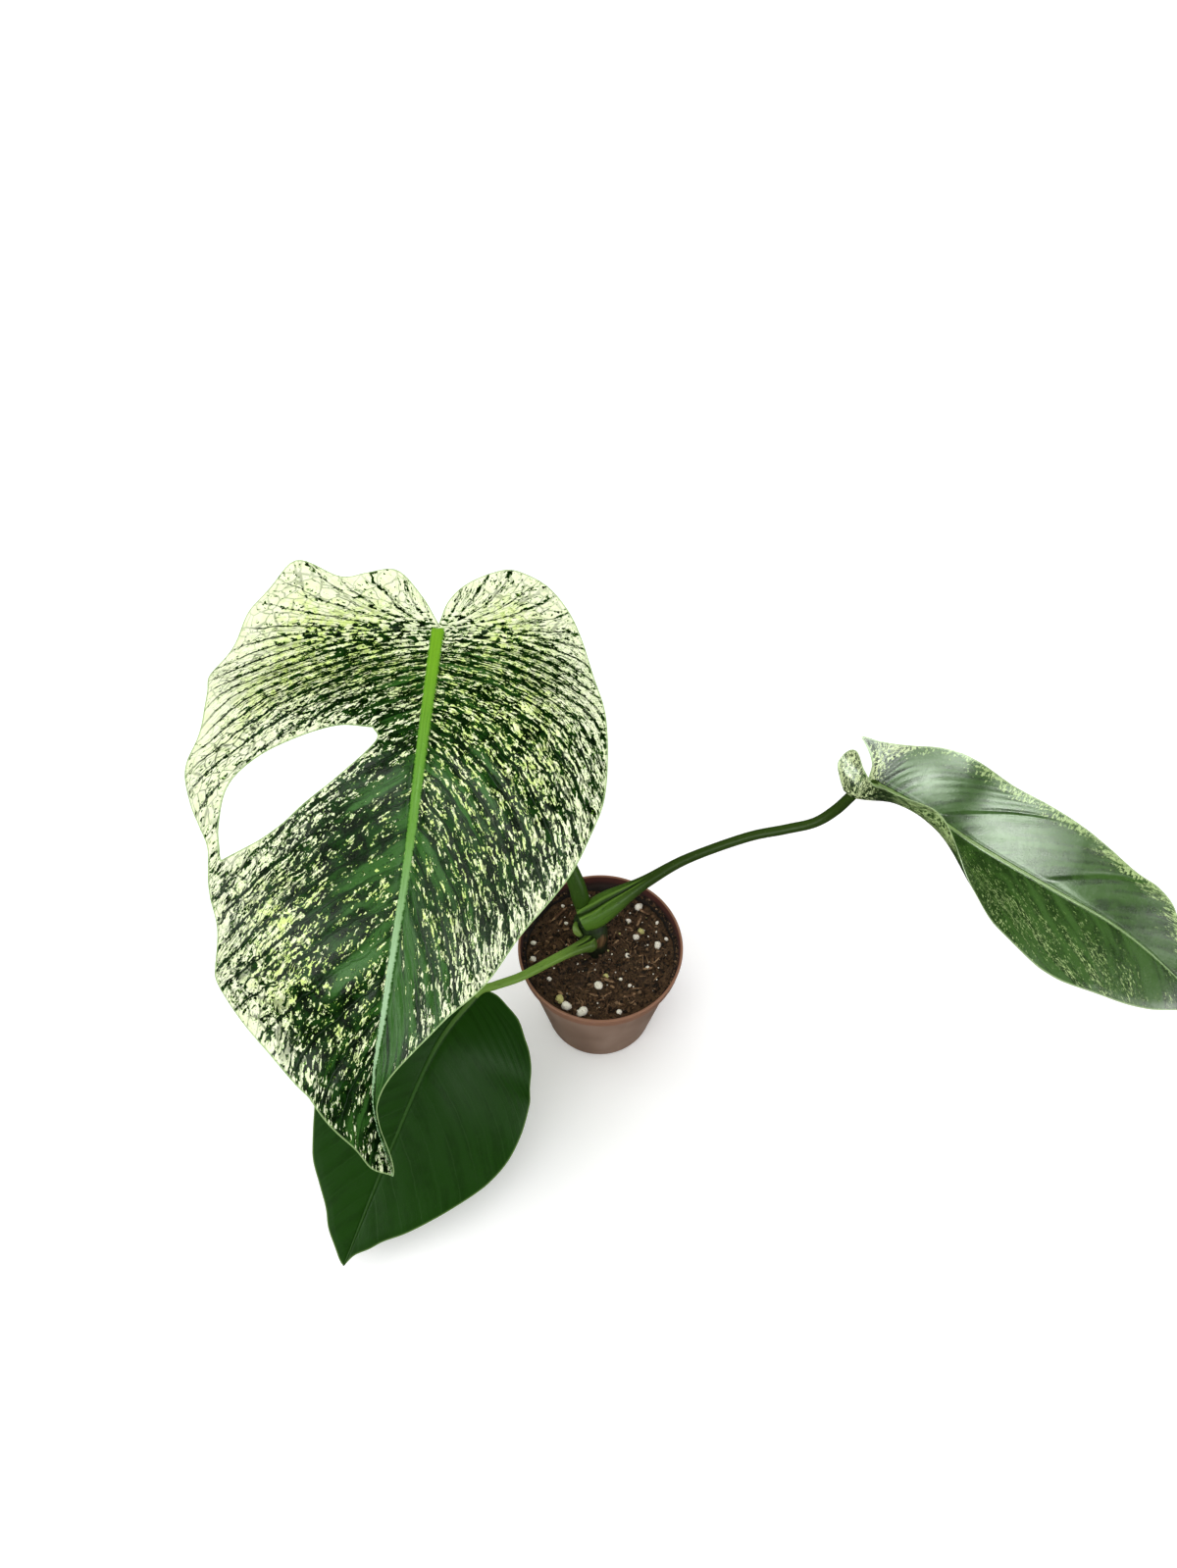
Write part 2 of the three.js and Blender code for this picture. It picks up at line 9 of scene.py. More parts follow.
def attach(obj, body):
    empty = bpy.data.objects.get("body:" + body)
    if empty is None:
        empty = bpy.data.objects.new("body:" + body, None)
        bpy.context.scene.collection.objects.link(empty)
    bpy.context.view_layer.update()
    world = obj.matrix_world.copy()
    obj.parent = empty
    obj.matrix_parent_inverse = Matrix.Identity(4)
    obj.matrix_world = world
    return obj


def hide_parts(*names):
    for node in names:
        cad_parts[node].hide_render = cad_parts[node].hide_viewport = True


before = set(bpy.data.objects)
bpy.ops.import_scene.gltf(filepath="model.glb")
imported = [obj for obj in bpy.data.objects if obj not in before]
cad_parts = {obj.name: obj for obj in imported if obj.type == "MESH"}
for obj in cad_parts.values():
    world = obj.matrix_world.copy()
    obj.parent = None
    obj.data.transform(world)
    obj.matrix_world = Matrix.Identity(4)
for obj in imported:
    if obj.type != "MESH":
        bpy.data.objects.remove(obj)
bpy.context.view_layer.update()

MM = 0.001
TAU = 2 * math.pi
UP = (0, 0, 1)
scene = bpy.context.scene

# ---- camera

camera_data = bpy.data.cameras.new("camera")
camera_data.lens = 27
camera_data.sensor_height = 36
camera_data.sensor_fit = "VERTICAL"
camera_data.clip_start = 0.01
camera = bpy.data.objects.new("camera", camera_data)
camera.location = (-0.0065, -0.3055, 0.648)
camera.rotation_euler = (math.radians(36), 0, 0)
scene.collection.objects.link(camera)
scene.camera = camera


# ---- curves and stations

def spline(points, share):
    """Uniform Catmull-Rom curve through points, at shares 0 to 1 of its run"""
    knots = np.asarray(points, float)
    spans = len(knots) - 1
    padded = np.vstack([2 * knots[0] - knots[1], knots, 2 * knots[-1] - knots[-2]])
    place = np.asarray(share, float) * spans
    k = np.clip(place.astype(int), 0, spans - 1)
    t = (place - k)[..., None]
    before, start, end, after = (padded[k + i] for i in range(4))
    leave, arrive = 0.5 * (end - before), 0.5 * (after - start)
    cubic = (2 * start - 2 * end + leave + arrive) * t + (3 * end - 3 * start - 2 * leave - arrive)
    return (cubic * t + leave) * t + start


def stationed(stations, place, column=1):
    """A smooth value through [place, value] stations, held level past both ends"""
    table = np.asarray(stations, float)
    at, level = table[:, 0], table[:, column]
    x = np.clip(place, at[0], at[-1])
    i = np.clip(np.searchsorted(at, x, side="right") - 1, 0, len(at) - 2)
    slope = np.zeros(len(at))
    slope[1:-1] = (level[2:] - level[:-2]) / (at[2:] - at[:-2])
    h = at[i + 1] - at[i]
    t = (x - at[i]) / h
    value = level[i] * (1 + 2 * t) * (1 - t) ** 2 + level[i + 1] * t * t * (3 - 2 * t)
    return value + slope[i] * h * t * (1 - t) ** 2 - slope[i + 1] * h * t * t * (1 - t)


def smooth(start, end, value):
    t = np.clip((value - start) / (end - start), 0, 1)
    return t * t * (3 - 2 * t)


def unit(vectors):
    return vectors / np.linalg.norm(vectors, axis=-1, keepdims=True)


def distances(points):
    """How far each point of a line lies along it"""
    return np.concatenate([[0], np.cumsum(np.linalg.norm(np.diff(points, axis=0), axis=1))])


def signed(turn):
    """A turn from 0 to a full one, as one to either side"""
    return np.where(turn > math.pi, turn - TAU, turn)


def spun(points, angle):
    """Points turned about the upright axis"""
    c, s = math.cos(angle), math.sin(angle)
    return points @ np.array([[c, s, 0], [-s, c, 0], [0, 0, 1]])


def fractal(points, size, octaves=3):
    """Repeatable noise about -1 to 1 at each point, for features of a size in mm"""
    return np.array([noise.fractal(Vector(p) / size, 0.8, 2.1, octaves) for p in np.asarray(points, float)])


# ---- leaf blades

# How far out, in mm, a lobe's lift and a curl reach their given angle, and a ripple its given height
LOBE_REACH = 80
RIPPLE_REACH = 70
# How a lateral vein sweeps: shares of its run along and across at its bend, by how far down the blade it is
SWEEP_ALONG = [[-0.1, 0.25], [0.05, 0.14], [0.4, 0.26], [0.8, 0.42], [1, 0.45]]
SWEEP_ACROSS = [[-0.1, 0.64], [0.05, 0.76], [0.4, 0.68], [0.8, 0.56], [1, 0.55]]
# Above 1, the feet of the laterals crowd together near the notch
FOOT_POWER = 2.5
# Half the thickness of a blade in mm, the share of it left at the margin, and how far in it is full
SKIN, MARGIN_SKIN, MARGIN_TAPER = 0.3, 0.45, 4
RETRACE_ROUNDS = 14
# How far each column of the grid lies out from the midrib, in half-widths of the midrib band
BAND_COLUMNS = np.array([0, 0.35, 0.65, 0.86, 1.0, 1.25, 1.7])


class Blade:
    """A leaf blade drawn flat in mm, x along the midrib and y across it, then bent into space

    fold, curl and roll are stations along the midrib in degrees, fold and curl for both sides. The
    laterals are lobe_rows, which spread round the notch, and body_rows, which follow the midrib."""

    roll = [[0, 0], [1, 0]]
    ripple, ripple_length = 0, 60

    def __init__(self, midrib, margins, **bends):
        vars(self).update(bends)
        self.midline = spline(midrib, np.linspace(0, 1, 4001))
        self.run = distances(self.midline)
        self.sides = []
        for points in margins:
            samples = spline(points, np.linspace(0, 1, 40 * (len(points) - 1) + 1))
            turn = len(samples) - 1
            while turn > 0 and samples[turn - 1][0] > 0:
                turn -= 1
            self.sides.append((samples, turn, distances(samples[:turn + 1])))
        self.tip = self.sides[0][0][-1][0]

    def down(self, row):
        """How far down the blade a row is, 0 to 1 below the lobes"""
        return (row - self.lobe_rows) / self.body_rows

    def margin(self, side, row):
        """Where the lateral vein of a row meets the margin"""
        samples, turn, lengths = self.sides[side]
        lobe = lengths[-1] * np.minimum(row / self.lobe_rows, 1)
        x, y = (np.interp(lobe, lengths, samples[:turn + 1, k]) for k in range(2))
        goal = samples[turn][0] + (self.tip - samples[turn][0]) * np.clip(self.down(row), 0, 1)
        order = np.maximum.accumulate(samples[turn:, 0])
        further = row > self.lobe_rows
        return np.where(further, goal, x), np.where(further, np.interp(goal, order, samples[turn:, 1]), y)

    def foot(self, row, power=FOOT_POWER):
        """Where on the midrib the lateral vein of a row starts"""
        return self.tip * np.clip(self.down(row), 0, 1) ** power

    def flat(self, side, row, share, power=FOOT_POWER):
        """A flat point on the lateral vein of a row"""
        foot = self.foot(row, power)
        end_x, end_y = self.margin(side, row)
        turn_x = foot + (end_x - foot) * stationed(SWEEP_ALONG, self.down(row))
        turn_y = end_y * stationed(SWEEP_ACROSS, self.down(row))
        x = (1 - share) ** 2 * foot + 2 * share * (1 - share) * turn_x + share ** 2 * end_x
        y = 2 * share * (1 - share) * turn_y + share ** 2 * end_y
        return x, y if side == 0 else -y

    def centre(self, x):
        return np.stack([np.interp(x, self.run, self.midline[:, k]) for k in range(3)], -1)

    def frame(self, x):
        """Where the midrib is, and which way is out of the blade and across it"""
        length = self.run[-1]
        inside = np.clip(x, 0, length)
        ahead, behind = np.minimum(inside + 0.5, length), np.maximum(inside - 0.5, 0)
        along = unit(self.centre(ahead) - self.centre(behind))
        upright = unit(np.array([0, 0, 1.0]) - along * along[..., 2:])
        sideways = np.cross(upright, along)
        roll = np.radians(stationed(self.roll, x))[..., None]
        normal = upright * np.cos(roll) + sideways * np.sin(roll)
        across = sideways * np.cos(roll) - upright * np.sin(roll)
        past = (x - inside)[..., None]
        bend = math.radians(self.lobe_lift) / LOBE_REACH
        lifted = along * np.sin(bend * past) / bend + normal * (1 - np.cos(bend * past)) / bend
        return self.centre(inside) + np.where(past < 0, lifted, along * past), normal, across

    def bent(self, x, y, side):
        """The point in space and the upward normal for flat points"""
        origin, normal, across = self.frame(x)
        first = side == 0
        sign = np.where(first, 1.0, -1.0)[..., None]
        out = np.abs(y)
        fold, curl = (
            np.where(first, stationed(table, x, 1), stationed(table, x, 2))
            for table in (self.fold, self.curl))
        fold = np.radians(fold)
        curl = np.radians(np.where(np.abs(curl) < 0.001, 0.001, curl)) / LOBE_REACH
        sideways = (np.sin(fold + curl * out) - np.sin(fold)) / curl
        wave = self.ripple * np.sin(TAU * x / self.ripple_length + np.where(first, 1.3, 2.6))
        upwards = (np.cos(fold) - np.cos(fold + curl * out)) / curl + (out / RIPPLE_REACH) ** 2 * wave
        point = origin + across * sign * sideways[..., None] + normal * upwards[..., None]
        angle = np.where(out < 1e-6, 0, fold + curl * out)[..., None]
        return point, normal * np.cos(angle) - across * sign * np.sin(angle)


def vein_spacing(x, y, fine):
    """Distance in mm between neighbouring laterals, square to them"""
    down_x, down_y = np.gradient(x, axis=0) * fine, np.gradient(y, axis=0) * fine
    out_x, out_y = np.gradient(x, axis=1), np.gradient(y, axis=1)
    return np.abs(down_x * out_y - down_y * out_x) / np.maximum(np.hypot(out_x, out_y), 1e-6)


def vein_grid(blade, fine, columns, band):
    """Flat points on a fine grid of lateral veins: x, y, side, row and share, and the faces between"""
    rows = np.arange((blade.lobe_rows + blade.body_rows) * fine + 1) / fine
    parts = {name: [] for name in ("x", "y", "side", "row", "share", "span", "spacing", "faces")}
    corner = np.arange(len(rows) * columns).reshape(len(rows), columns)
    foot = blade.foot(rows)
    # The first columns keep to the midrib band, but leave at least half of a short row free
    band_reach = BAND_COLUMNS * stationed(band, foot)[:, None]
    most = 0.5 * BAND_COLUMNS / BAND_COLUMNS[-1]
    slope = 2 * stationed(SWEEP_ACROSS, blade.down(rows))[:, None]
    row = np.repeat(rows[:, None], columns, 1)
    for side in (0, 1):
        end_x, end_y = blade.margin(side, rows)
        near = np.minimum(band_reach / np.maximum(end_y, 1e-6)[:, None], most)
        outer = np.linspace(0, 1, columns - len(BAND_COLUMNS) + 1)[None, 1:]
        reach = np.hstack([near, near[:, -1:] + (1 - near[:, -1:]) * outer])
        share = (slope - np.sqrt(slope ** 2 - 4 * (slope - 1) * reach)) / (2 * (slope - 1))
        x, y = blade.flat(side, row, share)
        span = np.repeat(np.hypot(end_x - foot, end_y)[:, None], columns, 1)
        a, b, c, d = corner[:-1, :-1], corner[:-1, 1:], corner[1:, 1:], corner[1:, :-1]
        quads = np.stack([a, b, c, d] if side == 0 else [a, d, c, b], -1).reshape(-1, 4) + side * corner.size
        values = (x, y, np.full(x.shape, side), row, share, span, vein_spacing(x, y, fine))
        for name, value in zip(parts, [value.ravel() for value in values] + [quads]):
            parts[name].append(value)
    return {name: np.concatenate(value) for name, value in parts.items()}


def weld(grid):
    """Joins flat points that coincide, and drops the faces that vanish"""
    key = np.round(np.stack([grid["x"], grid["y"]], -1), 4)
    _, first, back = np.unique(key, axis=0, return_index=True, return_inverse=True)
    kept = {name: value[first] for name, value in grid.items() if name != "faces"}
    kept["faces"] = []
    for face in back.ravel()[grid["faces"]]:
        ring = [corner for i, corner in enumerate(face) if corner != face[i - 1]]
        if len(set(ring)) == len(ring) and len(ring) > 2:
            kept["faces"].append(ring)
    return kept


def retrace(blade, grid, power):
    """Marks the first side by laterals whose feet are spread by another power; the points stay"""
    pick = (grid["side"] == 0) & (grid["row"] > blade.lobe_rows)
    x, y, row, share = (grid[name][pick] for name in ("x", "y", "row", "share"))

    def slopes(row_step, share_step):
        ahead = blade.flat(0, row + row_step, share + share_step, power)
        behind = blade.flat(0, row - row_step, share - share_step, power)
        return ((b - a) / (2 * (row_step + share_step)) for a, b in zip(behind, ahead))

    for _ in range(RETRACE_ROUNDS):
        here_x, here_y = blade.flat(0, row, share, power)
        row_x, row_y = slopes(0.01, 0)
        out_x, out_y = slopes(0, 0.001)
        turn = row_x * out_y - row_y * out_x
        turn = np.where(np.abs(turn) < 1, np.copysign(1, turn), turn)
        down = ((x - here_x) * out_y - (y - here_y) * out_x) / turn
        out = ((y - here_y) * row_x - (x - here_x) * row_y) / turn
        row = np.clip(row + np.clip(down, -0.5, 0.5), blade.lobe_rows, blade.lobe_rows + blade.body_rows)
        share = np.clip(share + np.clip(out, -0.1, 0.1), 0, 1)
    end_x, end_y = blade.margin(0, row)
    grid["row"][pick], grid["share"][pick] = row, share
    grid["span"][pick] = np.hypot(end_x - blade.foot(row, power), end_y)
    grid["spacing"][pick] = np.abs(row_x * out_y - row_y * out_x) / np.maximum(np.hypot(out_x, out_y), 1e-6)
    return grid


def inside_outline(x, y, outline):
    """Which points lie inside a closed outline"""
    inside = np.zeros(len(x), bool)
    for (ax, ay), (bx, by) in zip(outline, np.roll(outline, -1, axis=0)):
        if ay != by:
            inside ^= ((ay > y) != (by > y)) & (x < ax + (y - ay) * (bx - ax) / (by - ay))
    return inside


def nearest_on(outline, x, y):
    """The nearest point of a closed outline to each point, and how far it is"""
    best = np.full(len(x), 1e9)
    best_x, best_y = x.copy(), y.copy()
    for (ax, ay), (bx, by) in zip(outline, np.roll(outline, -1, axis=0)):
        length = (bx - ax) ** 2 + (by - ay) ** 2
        if length < 1e-12:
            continue
        t = np.clip(((x - ax) * (bx - ax) + (y - ay) * (by - ay)) / length, 0, 1)
        px, py = ax + t * (bx - ax), ay + t * (by - ay)
        far = np.hypot(x - px, y - py)
        closer = far < best
        best, best_x, best_y = (
            np.where(closer, new, was) for new, was in ((far, best), (px, best_x), (py, best_y)))
    return best_x, best_y, best


def cut_opening(grid, outline):
    """Removes the faces inside an outline and draws the rest up to it"""
    middle = [np.array([np.mean(grid[name][face]) for face in grid["faces"]]) for name in "xy"]
    gone = inside_outline(*middle, outline)
    edge_of_hole = set(c for face, out in zip(grid["faces"], gone) if out for c in face)
    faces = [face for face, out in zip(grid["faces"], gone) if not out]
    used = sorted(set(c for face in faces for c in face))
    edge = np.array([c for c in used if c in edge_of_hole])
    grid["x"][edge], grid["y"][edge], _ = nearest_on(outline, grid["x"][edge], grid["y"][edge])
    index = {old: new for new, old in enumerate(used)}
    kept = {name: value[used] for name, value in grid.items() if name != "faces"}
    kept["faces"] = [[index[c] for c in face] for face in faces]
    return kept


def boundary(faces):
    """Directed edges that only one face uses"""
    edges = dict.fromkeys((face[i - 1], corner) for face in faces for i, corner in enumerate(face))
    return [pair for pair in edges if pair[::-1] not in edges]


# ---- meshes and stalks

def new_mesh(name, points, faces):
    mesh = bpy.data.meshes.new(name)
    mesh.from_pydata([tuple(p) for p in np.asarray(points) * MM], [], [list(map(int, f)) for f in faces])
    mesh.polygons.foreach_set("use_smooth", [True] * len(mesh.polygons))
    mesh.update()
    thing = bpy.data.objects.new(name, mesh)
    scene.collection.objects.link(thing)
    return thing


def set_vectors(mesh, name, values):
    layer = mesh.attributes.new(name, "FLOAT_VECTOR", "POINT")
    layer.data.foreach_set("vector", np.asarray(values, np.float32).ravel())


def finish_piece(thing, replaces, slot, *materials):
    for material in materials:
        thing.data.materials.append(material)
    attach(thing, "root")
    if replaces:
        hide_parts(*replaces)


def joined(parts):
    points, faces, base = [], [], 0
    for corners, polygons in parts:
        points.append(corners)
        faces += [[c + base for c in f] for f in polygons]
        base += len(corners)
    return np.vstack(points), faces


def loft(points):
    """Faces through rings of points, with a fan over each end; the two fan centres come last"""
    rings, sides = points.shape[:2]
    faces = []
    for i in range(rings - 1):
        for j in range(sides):
            k = (j + 1) % sides
            faces.append([i * sides + j, i * sides + k, (i + 1) * sides + k, (i + 1) * sides + j])
    first, last, top = rings * sides, rings * sides + 1, (rings - 1) * sides
    for j in range(sides):
        k = (j + 1) % sides
        faces += [[first, k, j], [last, top + j, top + k]]
    return with_ends(points), faces


def with_ends(rings):
    """The points or marks of each ring, and those of the two fan centres"""
    return np.vstack([rings.reshape(-1, 3), rings[0].mean(0), rings[-1].mean(0)])


def stalk_rings(stations, up, sides, steps, shape=None):
    """Rings along [x, y, z, radius, groove] stations, and their marks: run, mm round and turn"""
    share = np.linspace(0, 1, steps + 1)
    line = spline(stations, share)
    centre, radius, groove = line[:, :3], line[:, 3:4], line[:, 4:]
    along = unit(np.gradient(centre, axis=0))
    above = unit(np.asarray(up, float) - along * (along @ np.asarray(up, float))[:, None])
    across = np.cross(along, above)
    turn = TAU * np.arange(sides) / sides
    reach = radius * (1 - groove * np.exp(-(signed(turn) / GROOVE_WIDTH) ** 2))
    if shape is not None:
        reach = shape(reach, share, turn)
    points = centre[:, None] + reach[..., None] * (
        above[:, None] * np.cos(turn)[None, :, None] + across[:, None] * np.sin(turn)[None, :, None])
    marks = np.broadcast_arrays(distances(centre)[:, None], radius * signed(turn), signed(turn))
    return points, np.stack(marks, -1)


def tube(name, stations, up, sides, steps):
    """A closed piece along stations"""
    points, marks = stalk_rings(stations, up, sides, steps)
    thing = new_mesh(name, *loft(points))
    set_vectors(thing.data, "grain", with_ends(marks))
    return thing


# How far one lateral lies from the next, in mm
LARGE_PITCH, RIGHT_PITCH, LOW_PITCH = 9.5, 8.0, 8.7
# Widths of a stalk's groove and of its wings, and where the two wings of an open sheath stand, as turns
# from its upper side
GROOVE_WIDTH, WING_WIDTH, WING_TURN = 0.6, 0.1, 0.34


def winged(length, height):
    """The shape of a stalk whose sheath stands open, with two thin wings, for a share of its length"""
    def shape(reach, share, turn):
        off = np.abs(signed(turn))
        wing = np.exp(-((off - WING_TURN) / WING_WIDTH) ** 2)
        gutter = np.exp(-(off / 0.22) ** 4)
        fade = smooth(length, length * 0.7, share) * smooth(0, 0.03, share)
        return reach * (1 + height * fade[:, None] * (wing - 0.9 * gutter)[None])
    return shape


class Look:
    """How one leaf is meshed and coloured: the values that a leaf need not give, then its own"""
    foot_power = under = base_dark = base_cream = pepper_tint = cream = None
    # Wander and size of the speckles
    jitter, grain_size, patches, vein_gather, calm_lift = 0.8, 1.0, 0.6, 0.0, 5.0
    # Strength of the green inside, the speckles' dark outline, the pepper and the dark dots
    inner_green = outline = pepper = dots = 0.0
    # Width of the laterals and how much it varies, and how far they fade at margin, lobes and rim
    line_width, vary = 0.44, 1.8
    margin_fade = lobe_fade = rim_fade = 0.0
    # Ragged edge and dark middle of the midrib band, and how much of the top shows through below
    fray, rib_split, through = 0.5, 0.0, 0.35
    # Relief by streaks, by the laterals and by long furrows
    ribbing, line_relief, furrow = 0.5, 1.0, 0.0

    def __init__(self, **values):
        vars(self).update(values)


def build_leaf(name, blade, stalk, look, opening=None):
    """One object: the blade with its two skins and rim, and its stalk"""
    grid = weld(vein_grid(blade, look.fine, look.columns, look.band))
    outlines = [np.vstack([blade.sides[0][0][::4], (blade.sides[1][0] * [1, -1])[::-4]])]
    if opening is not None:
        grid = cut_opening(grid, opening)
        outlines.append(opening)
    if look.foot_power:
        grid = retrace(blade, grid, look.foot_power)
    x, y, side, row, share = (grid[key] for key in ("x", "y", "side", "row", "share"))
    edge = np.min([nearest_on(outline, x, y)[2] for outline in outlines], axis=0)
    point, face = blade.bent(x, y, side)
    band = stationed(look.band, x)
    relief = look.relief(x, y, side, row, share, edge, band)
    # The skins close up towards the margin, and the underside carries a keel below the midrib
    thick = SKIN * (MARGIN_SKIN + (1 - MARGIN_SKIN) * smooth(0, MARGIN_TAPER, edge))
    keel = stationed(look.keel, x) * np.exp(-(y / look.keel_width) ** 2) * smooth(-6, 2, x)
    upper = point + face * (thick + relief)[:, None]
    lower = point - face * (thick - 0.6 * relief * (np.abs(y) > band) + keel)[:, None]
    count = len(x)
    rim = boundary(grid["faces"])
    faces = list(grid["faces"])
    faces += [[c + count for c in reversed(f)] for f in grid["faces"]]
    faces += [[b, a, a + count, b + count] for a, b in rim]
    blade_faces = len(faces)
    rings, marks = stalk
    stalk_points, stalk_faces = loft(rings)
    faces += [[c + 2 * count for c in f] for f in stalk_faces]
    thing = new_mesh(name, np.vstack([upper, lower, stalk_points]), faces)
    mesh = thing.data
    marks = with_ends(marks)
    density, calm = look.fields(x, y, side, edge)
    below = look.under(x, y, side, edge) if look.under else 1 + 0 * x
    grain, flat, spacing = (
        np.stack(values, -1) for values in (
            (share * grid["span"], row * look.pitch, side * 31.0), (x, y, edge), [grid["spacing"]] * 3))
    fields, under = (np.stack([density, calm, value], -1) for value in (0 * x, below))
    for key, top, bottom, on_stalk in (
            ("grain", grain, grain, marks), ("flat", flat, flat, marks),
            ("fields", fields, under, 0 * marks), ("spacing", spacing, spacing, 1 + 0 * marks)):
        set_vectors(mesh, key, np.vstack([top, bottom, on_stalk]))
    slots = np.zeros(len(faces), np.int32)
    slots[blade_faces:] = 1
    mesh.polygons.foreach_set("material_index", slots)
    sharp = {(min(a, b) + shift, max(a, b) + shift) for a, b in rim for shift in (0, count)}
    flags = mesh.attributes.new("sharp_edge", "BOOLEAN", "EDGE")
    pairs = np.empty(len(mesh.edges) * 2, np.int32)
    mesh.edges.foreach_get("vertices", pairs)
    pairs = np.sort(pairs.reshape(-1, 2), axis=1)
    flags.data.foreach_set("value", [tuple(p) in sharp for p in pairs.tolist()])
    return thing


# ---- materials

def srgb(red, green, blue):
    def linear(value):
        value /= 255
        return value / 12.92 if value <= 0.04045 else ((value + 0.055) / 1.055) ** 2.4
    return (linear(red), linear(green), linear(blue), 1)


class Wire:
    """A socket that takes arithmetic"""

    def __init__(self, graph, socket):
        self.graph, self.socket = graph, socket

    def __add__(self, other): return self.graph.math("ADD", self, other)
    def __radd__(self, other): return self.graph.math("ADD", other, self)
    def __sub__(self, other): return self.graph.math("SUBTRACT", self, other)
    def __rsub__(self, other): return self.graph.math("SUBTRACT", other, self)
    def __mul__(self, other): return self.graph.math("MULTIPLY", self, other)
    def __rmul__(self, other): return self.graph.math("MULTIPLY", other, self)
    def __truediv__(self, other): return self.graph.math("DIVIDE", self, other)
    def __abs__(self): return self.graph.math("ABSOLUTE", self)


class Graph:
    """Builds one node material; a colour is given as red, green and blue from 0 to 255"""

    def __init__(self, name):
        self.material = bpy.data.materials.new(name)
        self.material.use_nodes = True
        self.tree = self.material.node_tree
        self.tree.nodes.clear()

    def node(self, kind, inputs=None, **settings):
        node = self.tree.nodes.new(kind)
        for key, value in settings.items():
            setattr(node, key, value)
        for key, value in (inputs or {}).items():
            if isinstance(value, Wire):
                self.tree.links.new(value.socket, node.inputs[key])
            else:
                node.inputs[key].default_value = value
        return node

    def out(self, node, key=0):
        return Wire(self, node.outputs[key])

    def math(self, operation, *values, clamp=False):
        node = self.node("ShaderNodeMath", dict(enumerate(values)), operation=operation, use_clamp=clamp)
        return self.out(node)

    def clamp(self, value):
        return self.math("ADD", value, 0.0, clamp=True)

    def step(self, start, end, value):
        """0 to 1 while a value goes from start to end, smoothly"""
        inputs = {"Value": value, "From Min": start, "From Max": end}
        return self.out(self.node("ShaderNodeMapRange", inputs, interpolation_type="SMOOTHSTEP"))

    def table(self, value, stations):
        """A level that goes straight from each [place, level] station to the next"""
        level = stations[0][1]
        for (x0, level0), (x1, level1) in zip(stations[:-1], stations[1:]):
            inputs = {"Value": value, "From Min": x0, "From Max": x1, "To Max": level1 - level0}
            level = self.out(self.node("ShaderNodeMapRange", inputs)) + level
        return level

    def split(self, vector):
        node = self.node("ShaderNodeSeparateXYZ", {0: vector})
        return [self.out(node, i) for i in range(3)]

    def attribute(self, name):
        return self.split(self.out(self.node("ShaderNodeAttribute", attribute_name=name), "Vector"))

    def vector(self, *parts):
        return self.out(self.node("ShaderNodeCombineXYZ", dict(enumerate(parts))))

    def object_mm(self):
        """Position in mm"""
        coords = self.out(self.node("ShaderNodeTexCoord"), "Object")
        inputs = {0: coords, 1: (1 / MM,) * 3}
        return self.out(self.node("ShaderNodeVectorMath", inputs, operation="MULTIPLY"))

    def noise(self, place, scale=1.0, detail=2.0, rough=0.5):
        inputs = {"Vector": place, "Scale": scale, "Detail": detail, "Roughness": rough}
        return self.out(self.node("ShaderNodeTexNoise", inputs))

    def grain(self, x, y, z, detail=3.0, rough=0.6):
        """Noise with a size of its own along each axis"""
        return self.noise(self.vector(x, y, z), 1.0, detail, rough)

    def cells(self, *parts, output=0, feature="F1"):
        """Cells of a foam: the distance to a middle or an edge, or output 1, a colour for each cell"""
        inputs = {"Vector": self.vector(*parts), "Scale": 1.0}
        return self.out(self.node("ShaderNodeTexVoronoi", inputs, feature=feature), output)

    def cell_tone(self, *parts):
        return self.split(self.cells(*parts, output=1))[0]

    def mix(self, a, b, factor):
        a, b = (srgb(*colour) if isinstance(colour, tuple) else colour for colour in (a, b))
        return self.out(self.node("ShaderNodeMix", {0: factor, 6: a, 7: b}, data_type="RGBA"), 2)

    def layers(self, colour, *coats):
        """A colour under coats, each given with its share"""
        for coat, share in coats:
            colour = self.mix(colour, coat, share)
        return colour

    def surface(self, colour, rough, specular, height=None, bump=0.0, bump_mm=0.0, **uniform):
        inputs = {"Base Color": colour, "Roughness": rough, "Specular IOR Level": specular}
        inputs.update({key.replace("_", " "): value for key, value in uniform.items()})
        if height is not None:
            relief = {"Strength": bump, "Distance": bump_mm * MM, "Height": height}
            inputs["Normal"] = self.out(self.node("ShaderNodeBump", relief))
        shader = self.out(self.node("ShaderNodeBsdfPrincipled", inputs))
        self.node("ShaderNodeOutputMaterial", {"Surface": shader})
        return self.material


